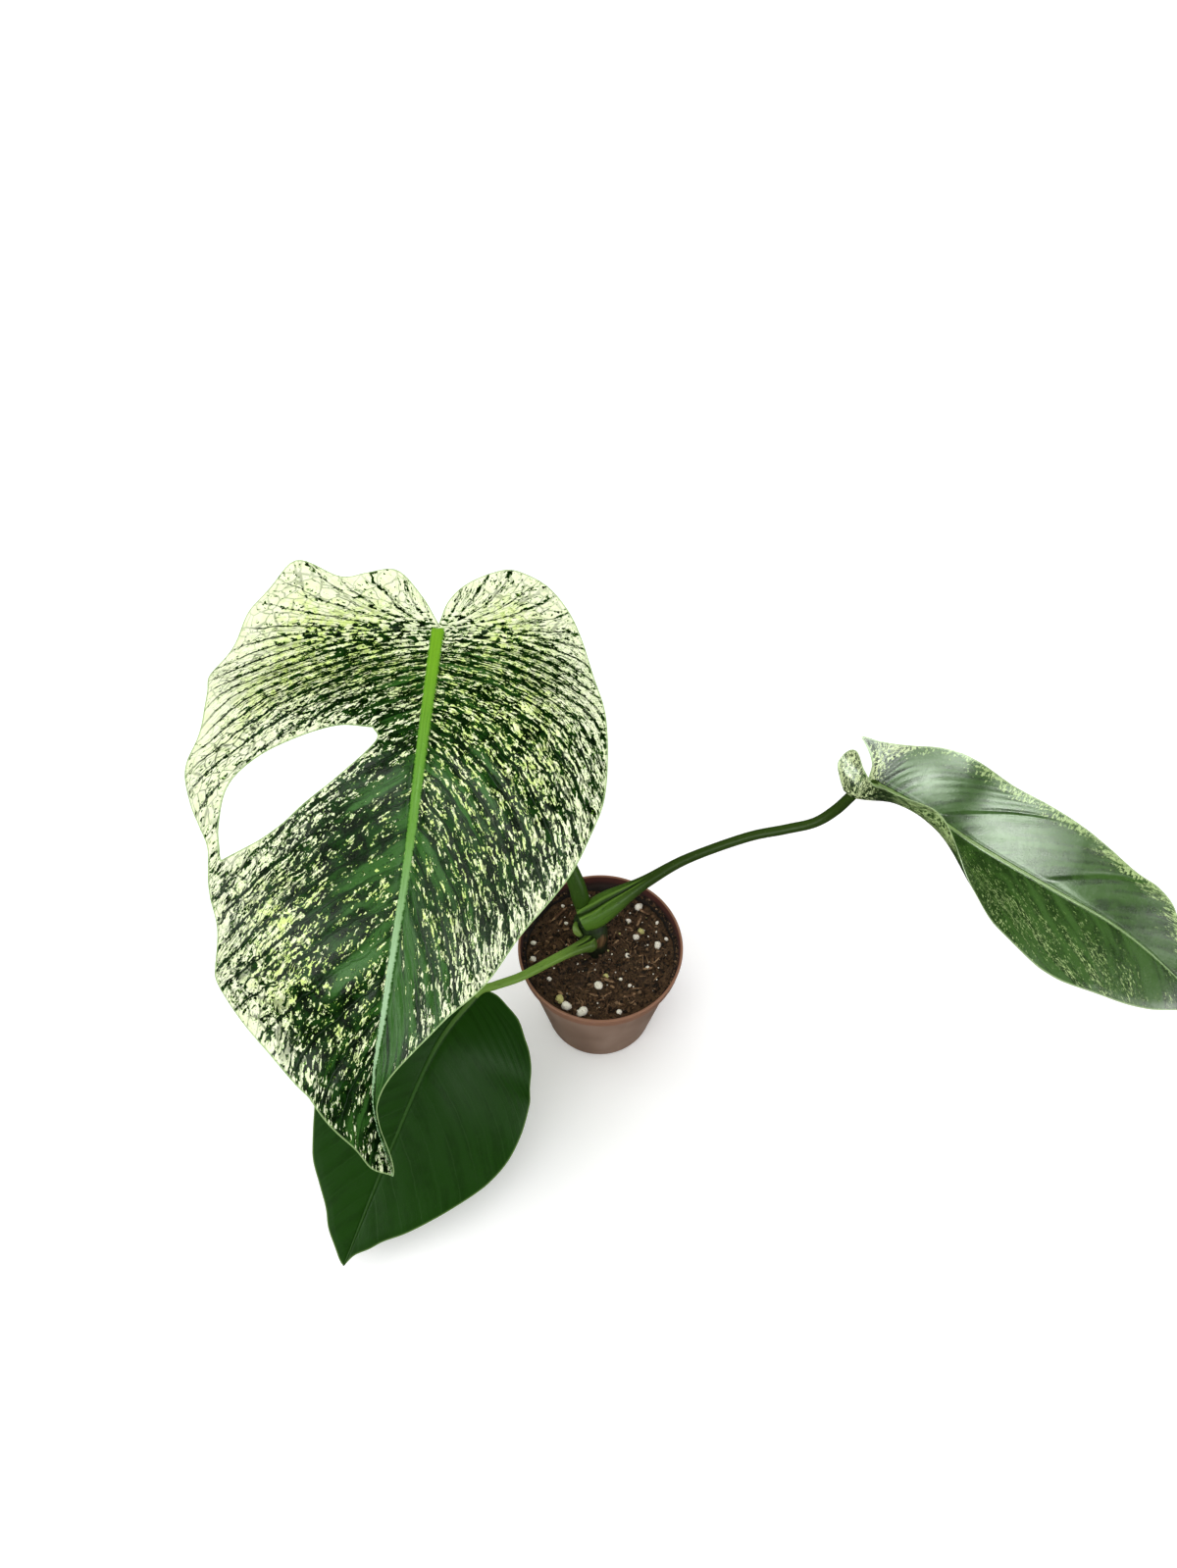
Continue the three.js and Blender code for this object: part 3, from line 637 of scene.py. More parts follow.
def leaf_material(name, look):
    """Green tissue broken by cream between fine veins; the fields say how green each place is"""
    g = Graph(name)
    along, across, side = g.attribute("grain")
    x, y, edge = g.attribute("flat")
    density, calm, under = g.attribute("fields")
    spacing = g.attribute("spacing")[0]
    room = spacing / look.pitch
    place = g.vector(x, y, side)

    # Laterals wander a little
    jitter = (g.noise(place, 0.3, 2.0, 0.6) - 0.5) * look.jitter
    across = across + (g.noise(place, 0.07) - 0.5) * look.sway + jitter
    along = along + (g.noise(place, 0.3, 1.0) - 0.5) * 2.0

    # Speckles drawn out along the laterals
    long, wide = along / look.grain_size, across / look.grain_size
    streak = g.grain(long / 5.4, wide / 1.2, side, 2.0, 0.55)
    tight = g.grain(long / 4.2, wide / 0.75, side + 6.0, 2.0, 0.55)
    streak = streak + (tight - streak) * g.step(1.1, 1.5, room)
    patch = g.cell_tone(long / 1.7, wide / 0.8, side)
    fleck = g.cell_tone(long / 0.8, wide / 0.5, side + 9.0)
    grit = g.noise(place, 1.5, 1.0)
    drawn = streak * 0.64 + patch * 0.24 + fleck * 0.17 + grit * 0.15 - 0.1
    # Where the laterals crowd together at the notch, the speckles are round
    grain_x, grain_y = x / look.grain_size, y / look.grain_size
    round_streak = g.grain(grain_x / 1.4, grain_y / 4.2, side, 2.0, 0.55)
    round_patch = g.cell_tone(grain_x / 0.9, grain_y / 1.7, side + 2.0)
    rounded = round_streak * 0.7 + round_patch * 0.25 + grit * 0.25 - 0.1
    value = rounded + (drawn - rounded) * g.step(0.25, 0.6, room)

    # Laterals of first, second and third order
    def off_line(turn):
        """How far the nearest whole turn is, in mm"""
        return abs(turn - g.math("ROUND", turn)) * spacing

    turn = across / look.pitch
    main = off_line(turn)
    vary = g.grain(along / 30.0, turn, side + 3.0, 1.0, 0.5) - 0.5
    main_line = g.step(look.line_width, look.line_width * 0.35, main - vary * look.vary)
    main_line = main_line * (g.step(1.2, 4.5, spacing) * 0.6 + 0.4)
    second_line = g.step(0.3, 0.06, off_line(turn + 0.5) - vary * 2.4) * g.step(1.2, 4.5, spacing)
    third = off_line(turn * 2.0 + 0.5) * 0.5
    third_line = g.step(0.26, 0.05, third - (streak - 0.5) * 2.2) * g.step(2.0, 5.0, spacing)

    # Net of small veins near the margin
    net = g.cells(along / 7.5, across / 4.6, side + 5.0, feature="DISTANCE_TO_EDGE")
    net_line = g.step(0.075, 0.018, net) * look.net * (g.step(34.0, 14.0, edge) * g.step(0.3, 0.7, room))

    # Green tissue, calmer in long bands
    tone = g.grain(along / 45.0, across / 6.0, side, 2.0, 0.5)
    calm_band = g.step(0.53, 0.7, tone + calm * 0.12)
    greener = g.step(0.4, 0.65, g.noise(place, 0.16, 3.0, 0.6)) + g.step(0.25, 0.9, calm) * look.inner_green
    colour = g.mix(look.dark, look.green, g.clamp(greener))
    if look.base_dark:
        colour = g.mix(colour, look.base_dark, g.step(26.0, 10.0, x))
    colour = g.mix(colour, look.calm, calm_band)
    if look.cream:
        # Cream where the speckles lie over the threshold that the density sets
        level = density + g.step(1.8, 0.0, main) * look.vein_gather
        level = level + (g.noise(place, 0.06) - 0.5) * look.patches
        over = (value - ((level - 0.5) * 0.4 + 0.5)) / 0.024 - calm_band * look.calm_lift
        cream = g.mix(look.cream, look.pale, g.step(0.38, 0.62, g.noise(place, 0.3, 3.0, 0.6)))
        cream = g.mix(cream, look.rim_tint, g.step(30.0, 6.0, edge) * 0.7)
        if look.base_cream:
            cream = g.mix(cream, look.base_cream, g.step(18.0, 6.0, x))
        colour = g.layers(
            colour, (look.dark, g.step(-3.2, -1.2, over) * look.outline),
            (look.halo, g.step(-0.9, 0.1, over)), (cream, g.step(0.0, 1.1, over)))
    if look.pepper:
        grains = g.grain(along / 0.95, across / 0.62, side + 12.0, 1.0, 0.5)
        spots = g.step(0.58, 0.66, grains) * g.step(0.05, 0.4, density) * (1.0 - calm_band * 0.8)
        colour = g.mix(colour, look.pepper_tint or look.dark, spots * look.pepper)

    # Veins, dark dots and a thin rim
    side_veins = look.second_line * (1.0 - g.step(28.0, 8.0, edge) * look.margin_fade)
    lines = g.math("MAXIMUM", main_line * look.main_line, second_line * side_veins)
    lines = g.clamp(g.math("MAXIMUM", lines, third_line * side_veins * 0.8) + net_line)
    lines = lines * (1.0 - g.step(12.0, -6.0, x) * look.lobe_fade)
    lines = lines * (1.0 - g.step(9.0, 1.5, edge) * look.rim_fade)
    colour = g.mix(colour, look.vein, lines * (1.0 - calm_band * 0.7))
    if look.dots:
        dot = g.step(0.06, 0.035, g.cells(x / 8.0, y / 8.0, side))
        colour = g.mix(colour, (20, 24, 14), dot * look.dots)
    colour = g.mix(colour, look.edge, g.step(0.9, 0.25, edge) * 0.8)

    # Midrib band, with painted shade along both its edges
    ragged = abs(y) + (g.grain(x / 1.1, y / 2.2, 2.0, 2.0) - 0.42) * look.fray
    out = ragged / g.table(x, look.band)
    in_band = g.step(1.1, 0.86, out) * g.step(-1.5, 0.5, x)
    fibre = g.grain(x / 14.0, y / 0.45, 4.0, 2.0)
    rib = g.layers(
        look.rib_top, (look.rib_mid, g.step(0.0, look.rib_turn, x)),
        (look.rib_low, g.step(look.rib_turn, look.rib_end, x)),
        # the coat at the band's edges is painted shade
        (look.rib_shade, g.step(0.45, 0.7, fibre) * 0.35), (look.rib_shade, g.step(0.62, 1.0, out) * 0.55),
        (look.rib_shade, g.step(0.34, 0.1, out) * look.rib_split))
    colour = g.mix(colour, rib, in_band)

    # The underside is paler and duller
    below = g.layers(look.below, (colour, look.through), (look.rib_low, in_band * 0.6))
    colour = g.mix(colour, below, under)
    rough = g.noise(place, 0.25, 3.0, 0.6) * 0.14 + look.rough + under * 0.15
    sunk = (main_line * 0.6 + second_line * 0.25 + net_line * 0.2) * look.line_relief
    height = streak * look.ribbing + grit * 0.5 + tone * look.furrow - sunk
    return g.surface(colour, rough, look.specular, height, look.bump, 0.25)


def stalk_material(name, near, far, shade, length, sheath=0.0):
    """Skin of a stalk: lengthwise fibres, turning from one green to another along it, and on an open sheath
    painted shade and a painted highlight
    """
    g = Graph(name)
    along, around, turn = g.attribute("grain")
    off = abs(turn)
    fibre = g.grain(along / 22.0, around / 0.55, 1.0)
    mottle = g.grain(along / 4.0, around / 2.5, 4.0)
    speck = g.step(0.14, 0.05, g.cells(along / 2.2, around / 1.5, 0.0))
    colour = g.layers(
        near, (far, g.step(0.0, length, along)), (shade, g.step(0.5, 0.75, fibre) * 0.4),
        (shade, g.step(0.55, 0.75, mottle) * 0.45), ((150, 180, 110), speck * 0.35))
    if sheath:
        # Painted light on the open sheath: painted shade darkens its sides and underside, a painted
        # highlight runs along its two wings, and the deepest painted shade fills the gutter between them
        open_part = g.step(sheath, sheath * 0.75, along)
        colour = g.layers(
            colour, (shade, g.step(1.2, 2.5, off) * open_part * 0.75),
            ((112, 148, 56), g.step(0.13, 0.04, abs(off - WING_TURN)) * open_part * 0.6),
            ((20, 36, 6), g.step(0.26, 0.1, off) * open_part * 0.85))
    return g.surface(colour, mottle * 0.12 + 0.3, 0.15, fibre * 0.6 + mottle * 0.4, 0.25, 0.2)


# ---- the large leaf

large_blade = Blade(
    midrib=[
        [-71, 44.5, 279], [-73, -13.5, 276], [-79, -55.5, 248], [-89, -94.5, 208], [-97, -121.5, 168],
        [-92, -141.5, 134],
    ],
    margins=[
        [
            [-3, 0], [-16, 3], [-26.5, 11], [-34, 25.6], [-32, 36.3], [-24, 48], [-8.5, 57.5], [19, 66.3],
            [45, 73], [72, 75], [88, 71.3], [105, 64.5], [126, 51], [149, 40], [172, 23.5], [195, 11.5],
            [215, 9.2], [235, 8], [250, 5], [257, 0],
        ],
        [
            [-3, 0], [-18.3, 8.8], [-32.8, 21.6], [-31.2, 35.2], [-29.4, 46.4], [-38.8, 69.3], [-12.7, 82],
            [6, 87.2], [21, 95], [37.6, 91.9], [50, 92.2], [64, 94.3], [79, 95.7], [93, 94.6], [102, 93],
            [111, 88], [118, 84.2], [126, 82], [141, 79.5], [153.5, 75.4], [166, 72.7], [175.5, 71.8],
            [186, 66.5], [195, 58], [204, 43.5], [211.3, 32], [216, 25.5], [233, 13], [248, 8], [257, 0],
        ],
    ],
    fold=[[0, 2, 2], [120, 4, 4], [185, 12, 8], [215, 70, 8], [255, 75, 15]],
    curl=[[0, -8, -8], [120, -6, -6], [235, 0, 0]],
    lobe_lift=8, ripple=1.6, ripple_length=46, lobe_rows=8, body_rows=27,
)
OPENING_INNER = [[54, -21], [60, -19], [76, -32], [90, -45], [103, -56], [122.5, -77.5]]
OPENING_OUTER = [[54, -21], [54, -36], [62, -54], [72, -67], [87, -77], [106, -81], [122.5, -77.5]]
edge_share = np.linspace(0, 1, 61)
opening = np.vstack([spline(OPENING_INNER, edge_share), spline(OPENING_OUTER, edge_share)[-2:0:-1]])

LARGE_STALK = [
    [-6.5, 13, 83, 4.2, 0], [-8.5, 15, 91, 4.7, 0], [-11, 17, 101, 4.8, 0.05],
    [-13.3, 20.4, 110, 4.6, 0.08], [-18.4, 26.4, 122, 4.3, 0.1], [-26.8, 32.4, 142, 4, 0.1],
    [-42, 36.5, 200, 3.4, 0.1], [-60, 44.5, 250, 3, 0.1], [-68, 47, 270, 3, 0.1],
    [-71, 43.6, 276.1, 2.4, 0], [-71, 35.5, 276.6, 1.3, 0],
]
LARGE_BAND = [[0, 3.1], [60, 2.5], [110, 1.9], [160, 1.6], [205, 1.1], [250, 0.5]]


def pillow(pitch, depth, crease):
    """Tissue swells a little between the laterals and dips along them"""
    def relief(x, y, side, row, share, edge, band):
        inset = smooth(0.03, 0.2, share) * smooth(0, 9, edge)
        swell = depth * np.sin(math.pi * row) ** 2 * inset
        dip = crease * np.exp(-((np.abs(row - np.round(row)) * pitch) / 1.1) ** 2) * inset
        ridge = 0.75 * np.sqrt(np.clip(1 - (y / band) ** 2, 0, 1)) * np.minimum(band / 2, 1)
        ridge *= smooth(-1, 3, x)
        gutter = 0.3 * np.exp(-((np.abs(y) - 1.35 * band) / (0.5 * band)) ** 2) * smooth(-1, 6, x)
        return swell - dip + ridge - gutter
    return relief


def bumps(x, y, spots):
    total = np.zeros_like(x)
    for cx, cy, rx, ry, amount in spots:
        total += amount * np.exp(-((x - cx) / rx) ** 2 - ((y - cy) / ry) ** 2)
    return total


def large_fields(x, y, side, edge):
    """How green and how calm each place is: [x, y, reach along, reach across, amount] spots and wedges"""
    density = 0.5 + bumps(x, y, [
        (-20, -45, 26, 50, -0.36), (-18, 30, 24, 34, -0.28), (30, -85, 60, 24, -0.36),
        (90, -90, 50, 14, -0.2), (30, 60, 50, 16, -0.12), (60, 10, 60, 14, 0.08), (140, 12, 50, 16, 0.2),
        (215, 12, 30, 12, 0.4), (150, -30, 50, 25, 0.08), (190, -50, 30, 18, -0.1), (140, -62, 40, 18, -0.1),
        (90, 55, 30, 20, 0.05), (80, -12, 32, 14, 0.22), (45, -15, 20, 14, 0.06), (30, 20, 16, 16, 0.04),
        (160, -45, 60, 14, -0.06), (150, 48, 40, 14, -0.06), (2, -22, 9, 34, -0.06), (2, 18, 9, 28, -0.12),
        (150, -24, 50, 16, 0.22), (105, -30, 30, 18, 0.12), (228, -10, 28, 16, 0.3), (85, 26, 40, 22, 0.12),
        (190, -30, 30, 14, 0.1), (40, -30, 30, 20, 0.05),
        (85, -30, 20, 24, 0.06), (75, 12, 34, 14, -0.1), (92, 38, 34, 24, 0.06), (130, 20, 40, 20, -0.04),
    ])
    density -= 0.14 * np.exp(-(edge / 7) ** 2)
    # Plain green wedges along the midrib: one that widens towards the tip, and a short one beside it
    wider, out = 0.05 * np.maximum(x - 60, 0), np.abs(y)
    right = (y > 0) * smooth(85, 130, x) * smooth(1.5, 0.8, out / (3.5 + wider))
    left = (y < 0) * smooth(60, 120, x) * smooth(125, 95, x) * smooth(1.5, 0.8, out / (4 + wider))
    density += 0.2 * right + 0.24 * left
    calm = 0.1 + bumps(x, y, [(50, 20, 60, 35, 0.3), (150, 10, 50, 22, 0.5), (120, -25, 60, 25, 0.15)])
    calm += 0.7 * right + 1.0 * left - 1.6 * smooth(25, -5, x) - 1.1 * smooth(20, 42, out)
    return density, calm


LARGE_LOOK = Look(
    fine=6, columns=62, pitch=LARGE_PITCH, band=LARGE_BAND, keel_width=1.5,
    keel=[[-10, 2.2], [0, 2.6], [120, 1.8], [230, 0.5]], relief=pillow(LARGE_PITCH, 0.3, 0.22),
    fields=large_fields, sway=4.5, jitter=0.7, fray=1.8,
    outline=0.9, vein_gather=0.3, lobe_fade=0.3, rim_fade=0.45, net=0.7, main_line=0.95, second_line=0.6,
    foot_power=2.0, pepper=0.65, inner_green=0.8, vary=0.9, margin_fade=0.7, line_width=0.5, patches=0.34,
    calm_lift=3.6, grain_size=1.25, dark=(2, 16, 0), green=(20, 58, 9), calm=(50, 94, 34),
    halo=(104, 156, 38), cream=(214, 235, 138), pale=(240, 248, 200), rim_tint=(240, 247, 216),
    vein=(6, 28, 3), edge=(150, 178, 118), rib_top=(112, 164, 34), rib_mid=(98, 148, 54),
    # rib_low, the pale grey-green of the lower midrib, is partly painted sheen
    rib_low=(160, 194, 152), rib_shade=(60, 110, 28), rib_turn=90.0, rib_end=165.0, below=(150, 178, 120),
    rough=0.2, bump=0.5, specular=0.08,
)

large_stalk = stalk_rings(LARGE_STALK, (-0.6, -0.8, 0.2), sides=28, steps=140)
large_leaf = build_leaf("large_leaf", large_blade, large_stalk, LARGE_LOOK, opening)
finish_piece(
    large_leaf, ("leaf_large",), "leaf_speckled", leaf_material("speckled_leaf", LARGE_LOOK),
    stalk_material("large_stalk", (50, 80, 18), (56, 88, 22), (24, 42, 7), 60.0))

# ---- the right leaf

right_blade = Blade(
    midrib=[
        [127, 21.5, 200], [148, 4.5, 201], [173, -12.5, 195], [210, -28.5, 181], [239, -39.5, 168],
        [266, -53.5, 151], [283, -66.5, 138],
    ],
    margins=[
        [
            [-2, 0], [-4, 7], [-8, 12], [-15, 16], [-6, 18.5], [8, 23.5], [22, 29.8], [34, 32.3],
            [54, 31.8], [75, 32.8], [93, 32.5], [113, 30.5], [130, 27.5], [141, 28], [151, 26.5],
            [158, 22.5], [172, 12.5], [186, 4], [194, 0],
        ],
        [
            [-2, 0], [-7.7, 8], [-6.5, 21], [-12.7, 32], [-8, 41.5], [8, 31.2], [20, 38.5], [40, 36],
            [60, 38.5], [80, 36.5], [106, 38.5], [119, 37.5], [138, 33.5], [156, 28], [173, 19.5],
            [183, 11.5], [190, 4], [194, 0],
        ],
    ],
    fold=[
        [-12, 30, -24], [0, 30, -31], [18, 30, 31], [36, 30, 25], [55, 30, 5], [75, 30, 0], [100, 28, -6],
        [130, 24, -12], [190, 15, -10],
    ],
    curl=[
        [-12, 60, 385], [2, 60, 385], [18, 60, 91], [36, 60, 135], [55, 36, 94], [75, 20, 17],
        [100, 10, -14], [130, 0, 0], [190, 0, 0],
    ],
    lobe_lift=25, lobe_rows=7, body_rows=24,
)
RIGHT_STALK = [
    [-10, 8.2, 91, 6.6, 0.05], [-3.8, 10.4, 93.6, 8, 0.2], [4.1, 14.2, 98, 7.6, 0.4],
    [14.6, 19.1, 102.5, 5.2, 0.4], [25.1, 23.5, 107, 3.5, 0.25], [45.8, 30.6, 117.4, 2.7, 0.1],
    [75.8, 34.4, 132.2, 2.6, 0.08], [94.9, 32.8, 142.4, 2.6, 0.08], [108.6, 31.2, 151, 2.6, 0.05],
    [117.2, 30.1, 164, 2.8, 0.05], [123.5, 25.5, 188, 2.7, 0.05], [127.7, 22.3, 198, 2.4, 0],
    [133, 16.5, 199.4, 1.2, 0],
]


def right_fields(x, y, side, edge):
    """Plain green, with speckles at the base, along the far margin and over the near half's outside"""
    far, near = side == 0, side == 1
    density = 1.25 - 0.66 * far * np.exp(-(edge / 6.5) ** 2) * smooth(-12, 10, x)
    density -= 0.34 * far * np.exp(-(edge / 14) ** 2) * smooth(-12, 10, x)
    density -= 0.78 * near * smooth(24, 4, x)
    density -= 0.82 * near * smooth(12, 24, x) * smooth(50, 40, x) * smooth(8, 16, np.abs(y))
    density -= 0.5 * far * smooth(8, -3, x)
    density -= near * smooth(36, 56, x) * (0.3 + 0.3 * smooth(3, 22, np.abs(y)))
    calm = 1.0 - 2.0 * near * smooth(90, 60, x) - 2.0 * far * smooth(12, 0, x)
    return density, calm


def right_under(x, y, side, edge):
    """The rolled near half shows its speckled back at the base"""
    return 1 - 0.9 * (side == 1) * smooth(85, 50, x)


# Two creases run out across the far half: the rows that they follow, and the mm from row to row
CREASE_PITCH = 6.0
CREASES = [18.6, 24.4]


def right_relief(x, y, side, row, share, edge, band):
    relief = pillow(RIGHT_PITCH, 0.03, 0.015)(x, y, side, row, share, edge, band)
    for crease in CREASES:
        off = (row - crease) * CREASE_PITCH
        fade = (side == 0) * smooth(0.04, 0.15, share) * smooth(1.0, 0.55, share)
        swell = 0.5 * smooth(0, 1.2, off) * np.exp(-np.abs(off) / 9)
        relief -= fade * (0.32 * np.exp(-(off / 0.9) ** 2) - swell)
    return relief


RIGHT_LOOK = Look(
    fine=6, columns=48, pitch=RIGHT_PITCH, band=[[0, 1.3], [60, 1.1], [130, 0.8], [190, 0.3]],
    keel=[[-5, 1.4], [0, 1.6], [120, 0.9], [190, 0.3]], keel_width=1.2, relief=right_relief,
    fields=right_fields, under=right_under, sway=2.4, vein_gather=0.1, net=0.3, main_line=0.1,
    second_line=0.03, vary=0.4, pepper=0.7, pepper_tint=(22, 44, 12), outline=0.1, rib_split=0.7,
    grain_size=0.72, patches=0.3, dots=0.7, ribbing=0.3, line_relief=0.1, furrow=1.2, through=0.9,
    base_dark=(22, 44, 13), base_cream=(206, 220, 164), dark=(38, 66, 20), green=(54, 88, 30),
    calm=(62, 98, 38), halo=(94, 128, 52), cream=(130, 160, 88), pale=(168, 192, 126),
    rim_tint=(182, 206, 138), vein=(30, 54, 20), edge=(160, 184, 130), rib_top=(128, 158, 86),
    rib_mid=(146, 176, 108), rib_low=(128, 160, 96), rib_shade=(58, 84, 40), rib_turn=60.0, rib_end=150.0,
    below=(128, 158, 96), rough=0.2, bump=0.28, specular=0.9,
)

right_stalk = stalk_rings(RIGHT_STALK, UP, sides=90, steps=200, shape=winged(0.3, 0.14))
right_leaf = build_leaf("right_leaf", right_blade, right_stalk, RIGHT_LOOK)
finish_piece(
    right_leaf, ("leaf_right",), "leaf_glossy", leaf_material("glossy_leaf", RIGHT_LOOK),
    stalk_material("right_stalk", (82, 120, 36), (44, 66, 16), (24, 42, 7), 46.0, sheath=44.0))

# ---- the low leaf

low_blade = Blade(
    midrib=[[-63, -30.5, 86], [-85, -58.5, 77], [-107, -102.5, 53], [-131, -152.5, 20]],
    margins=[
        [
            [-1, 0], [-3, 8], [-2, 16], [0, 25], [4, 33], [9, 42], [17, 49], [34, 55], [50, 58], [62, 59],
            [75, 58], [86, 54.5], [97, 48.5], [109, 40], [119, 32], [129, 23], [137, 14], [143, 9],
            [149, 3], [156, 0],
        ],
        [
            [-1, 0], [-6, 10], [-6, 24], [2, 37], [18, 47], [40, 52], [64, 51], [86, 45], [102, 39],
            [112, 34.5], [122, 27], [132, 19.5], [141, 14.5], [149, 7.5], [154, 3], [156, 0],
        ],
    ],
    fold=[[0, 2, 4], [150, 2, 4]],
    curl=[[0, -14, -6], [150, -6, -4]],
    roll=[[0, 14], [150, 12]],
    lobe_lift=-10, ripple=1.2, ripple_length=60, lobe_rows=5, body_rows=18,
)
LOW_STALK = [
    [-4.6, 0.4, 81.6, 3.6, 0], [-6.2, -1.4, 82.4, 4.9, 0.15], [-9.7, -3.6, 83.6, 3.8, 0.35],
    [-17, -7.9, 85, 2.9, 0.35], [-27.4, -14.3, 86, 2.6, 0.3], [-42.2, -23.4, 87, 2.4, 0.25],
    [-55.3, -28.5, 87, 2.3, 0.2], [-63, -30.9, 85.4, 2, 0.1], [-70, -39.5, 82, 1.1, 0],
]


def low_fields(x, y, side, edge):
    """Green and calm all over"""
    return 1.6 + 0 * x, 1.2 + 0 * x


LOW_LOOK = Look(
    fine=7, columns=44, pitch=LOW_PITCH, band=[[0, 1.5], [60, 1.0], [120, 0.7], [150, 0.4]],
    keel=[[-5, 1.4], [0, 1.6], [100, 0.9], [150, 0.3]], keel_width=1.2, relief=pillow(LOW_PITCH, 0.05, 0.03),
    fields=low_fields, sway=2.0, net=0.05, main_line=0.22, second_line=0.08, dark=(20, 51, 5),
    green=(22, 55, 6), calm=(24, 58, 8), vein=(44, 78, 30), edge=(96, 124, 66), rib_top=(80, 112, 50),
    rib_mid=(46, 80, 29), rib_low=(38, 70, 22), rib_shade=(30, 56, 16), rib_turn=50.0, rib_end=120.0,
    below=(84, 116, 60), rough=0.24, bump=0.3, ribbing=0.2, line_relief=0.5, specular=0.055,
)

low_stalk = stalk_rings(LOW_STALK, UP, sides=64, steps=150, shape=winged(0.2, 0.12))
low_leaf = build_leaf("low_leaf", low_blade, low_stalk, LOW_LOOK)
finish_piece(
    low_leaf, ("leaf_low",), "leaf_plain", leaf_material("plain_leaf", LOW_LOOK),
    stalk_material("low_stalk", (72, 96, 34), (116, 152, 62), (46, 70, 22), 26.0, sheath=12.0))

# ---- stem

STEM_ROUTE = [[-0.5, 2.5, 40, 4, 0], [-1, 3, 54, 4.8, 0], [-1.8, 4.2, 65, 5.8, 0], [-4.3, 8.5, 78, 8.4, 0],
              [-7, 12, 88, 7.8, 0]]
stem = tube("stem_body", STEM_ROUTE, (0, 1, 0), 40, 60)


def stem_material():
    """Dark green with lengthwise fibres, a brown scar at the front, and painted shade at the foot below the
    leaf bases
    """
    g = Graph("stem_skin")
    along, around, _ = g.attribute("grain")
    place = g.object_mm()
    x, y, z = g.split(place)
    fibre = g.grain(along / 14.0, around / 0.7, 1.0)
    mottle = g.noise(place, 0.35, 3.0, 0.6)
    far = g.math("SQRT", sum((a - b) * (a - b) for a, b in ((x, 0.5), (y, 1.4), (z, 78.5))))
    scar = g.step(5.2, 3.4, far + (mottle - 0.5) * 5.0)
    scar_tint = g.mix((74, 50, 30), (128, 100, 64), g.step(0.4, 0.6, fibre))
    colour = g.layers(
        (28, 46, 12), ((46, 72, 20), g.step(0.35, 0.65, mottle)),
        ((20, 30, 8), g.step(0.5, 0.75, fibre) * 0.5), (scar_tint, scar),
        # painted shade: darker from 80 mm down to 69 mm, below the leaf bases
        ((24, 24, 12), g.step(80.0, 69.0, z) * 0.85))
    return g.surface(colour, mottle * 0.15 + 0.4, 0.3, fibre + mottle, 0.4, 0.3)


finish_piece(stem, ("stem",), "stem_skin", stem_material())

# A small dried flap curls out between the stem and the low leaf's sheath
FLAP = [[-13, 7.5, 90.5, 0.7, 0], [-13.6, 5.4, 89.6, 1.5, 0.3], [-13, 3.4, 87.8, 1.9, 0.35],
        [-11.6, 2.4, 86.2, 1.6, 0.2], [-10.2, 2.4, 85.2, 0.8, 0]]
flap = tube("sheath_flap", FLAP, (-0.5, -0.6, 0.6), 24, 30)
finish_piece(
    flap, (), "stem_skin", stalk_material("flap_skin", (88, 120, 40), (120, 146, 66), (52, 74, 20), 6.0))

# ---- pot

POT_HEIGHT, RIM_RADIUS, COLLAR, SHOULDER = 78, 45, 8, 42.4
FOOT, FOOT_ROUND, WALL, FLOOR_THICK = 31, 4, 1.1, 1.4
COLLAR_LEVEL = POT_HEIGHT - COLLAR
# Up the outside of the collar, over the rim and down its inside: how far in from the rim, and how far down
RIM_PROFILE = [
    (1.2, 7.8), (0.8, 7.2), (0.5, 2.4), (0.35, 1.4), (0.02, 1.0), (0.05, 0.35), (0.35, 0.02), (1.1, 0.02),
    (1.45, 0.4), (2.0, 6.6),
]
POT_SIDES, CUTTER_SIDES = 144, 32
DRAIN_HOLES, DRAIN_RADIUS, DRAIN_CIRCLE = 6, 3.5, 19


def circled(radius, turn, height):
    """Points on circles about the upright axis"""
    return np.stack(np.broadcast_arrays(radius * np.cos(turn), radius * np.sin(turn), height), -1)


def turned(profile, segments):
    """A closed turned body from a profile of (radius, height) whose ends are filled level"""
    radius, height = np.asarray(profile, float).T[..., None]
    return loft(circled(radius, TAU * np.arange(segments) / segments, height))


def pot_profile():
    profile = []
    for turn in np.radians(np.linspace(0, 90, 9)):
        profile.append((FOOT - FOOT_ROUND * (1 - math.sin(turn)), FOOT_ROUND * (1 - math.cos(turn))))
    for share in (0.25, 0.5, 0.75, 0.97):
        profile.append((FOOT + (SHOULDER - FOOT) * share, FOOT_ROUND + (COLLAR_LEVEL - FOOT_ROUND) * share))
    profile += [(SHOULDER, COLLAR_LEVEL - 0.3), (SHOULDER + 0.4, COLLAR_LEVEL)]
    profile += [(RIM_RADIUS - inset, POT_HEIGHT - drop) for inset, drop in RIM_PROFILE]
    profile += [(SHOULDER - WALL, COLLAR_LEVEL), (FOOT - WALL, FOOT_ROUND + FLOOR_THICK)]
    return profile + [(FOOT - FOOT_ROUND + 0.5, FLOOR_THICK)]


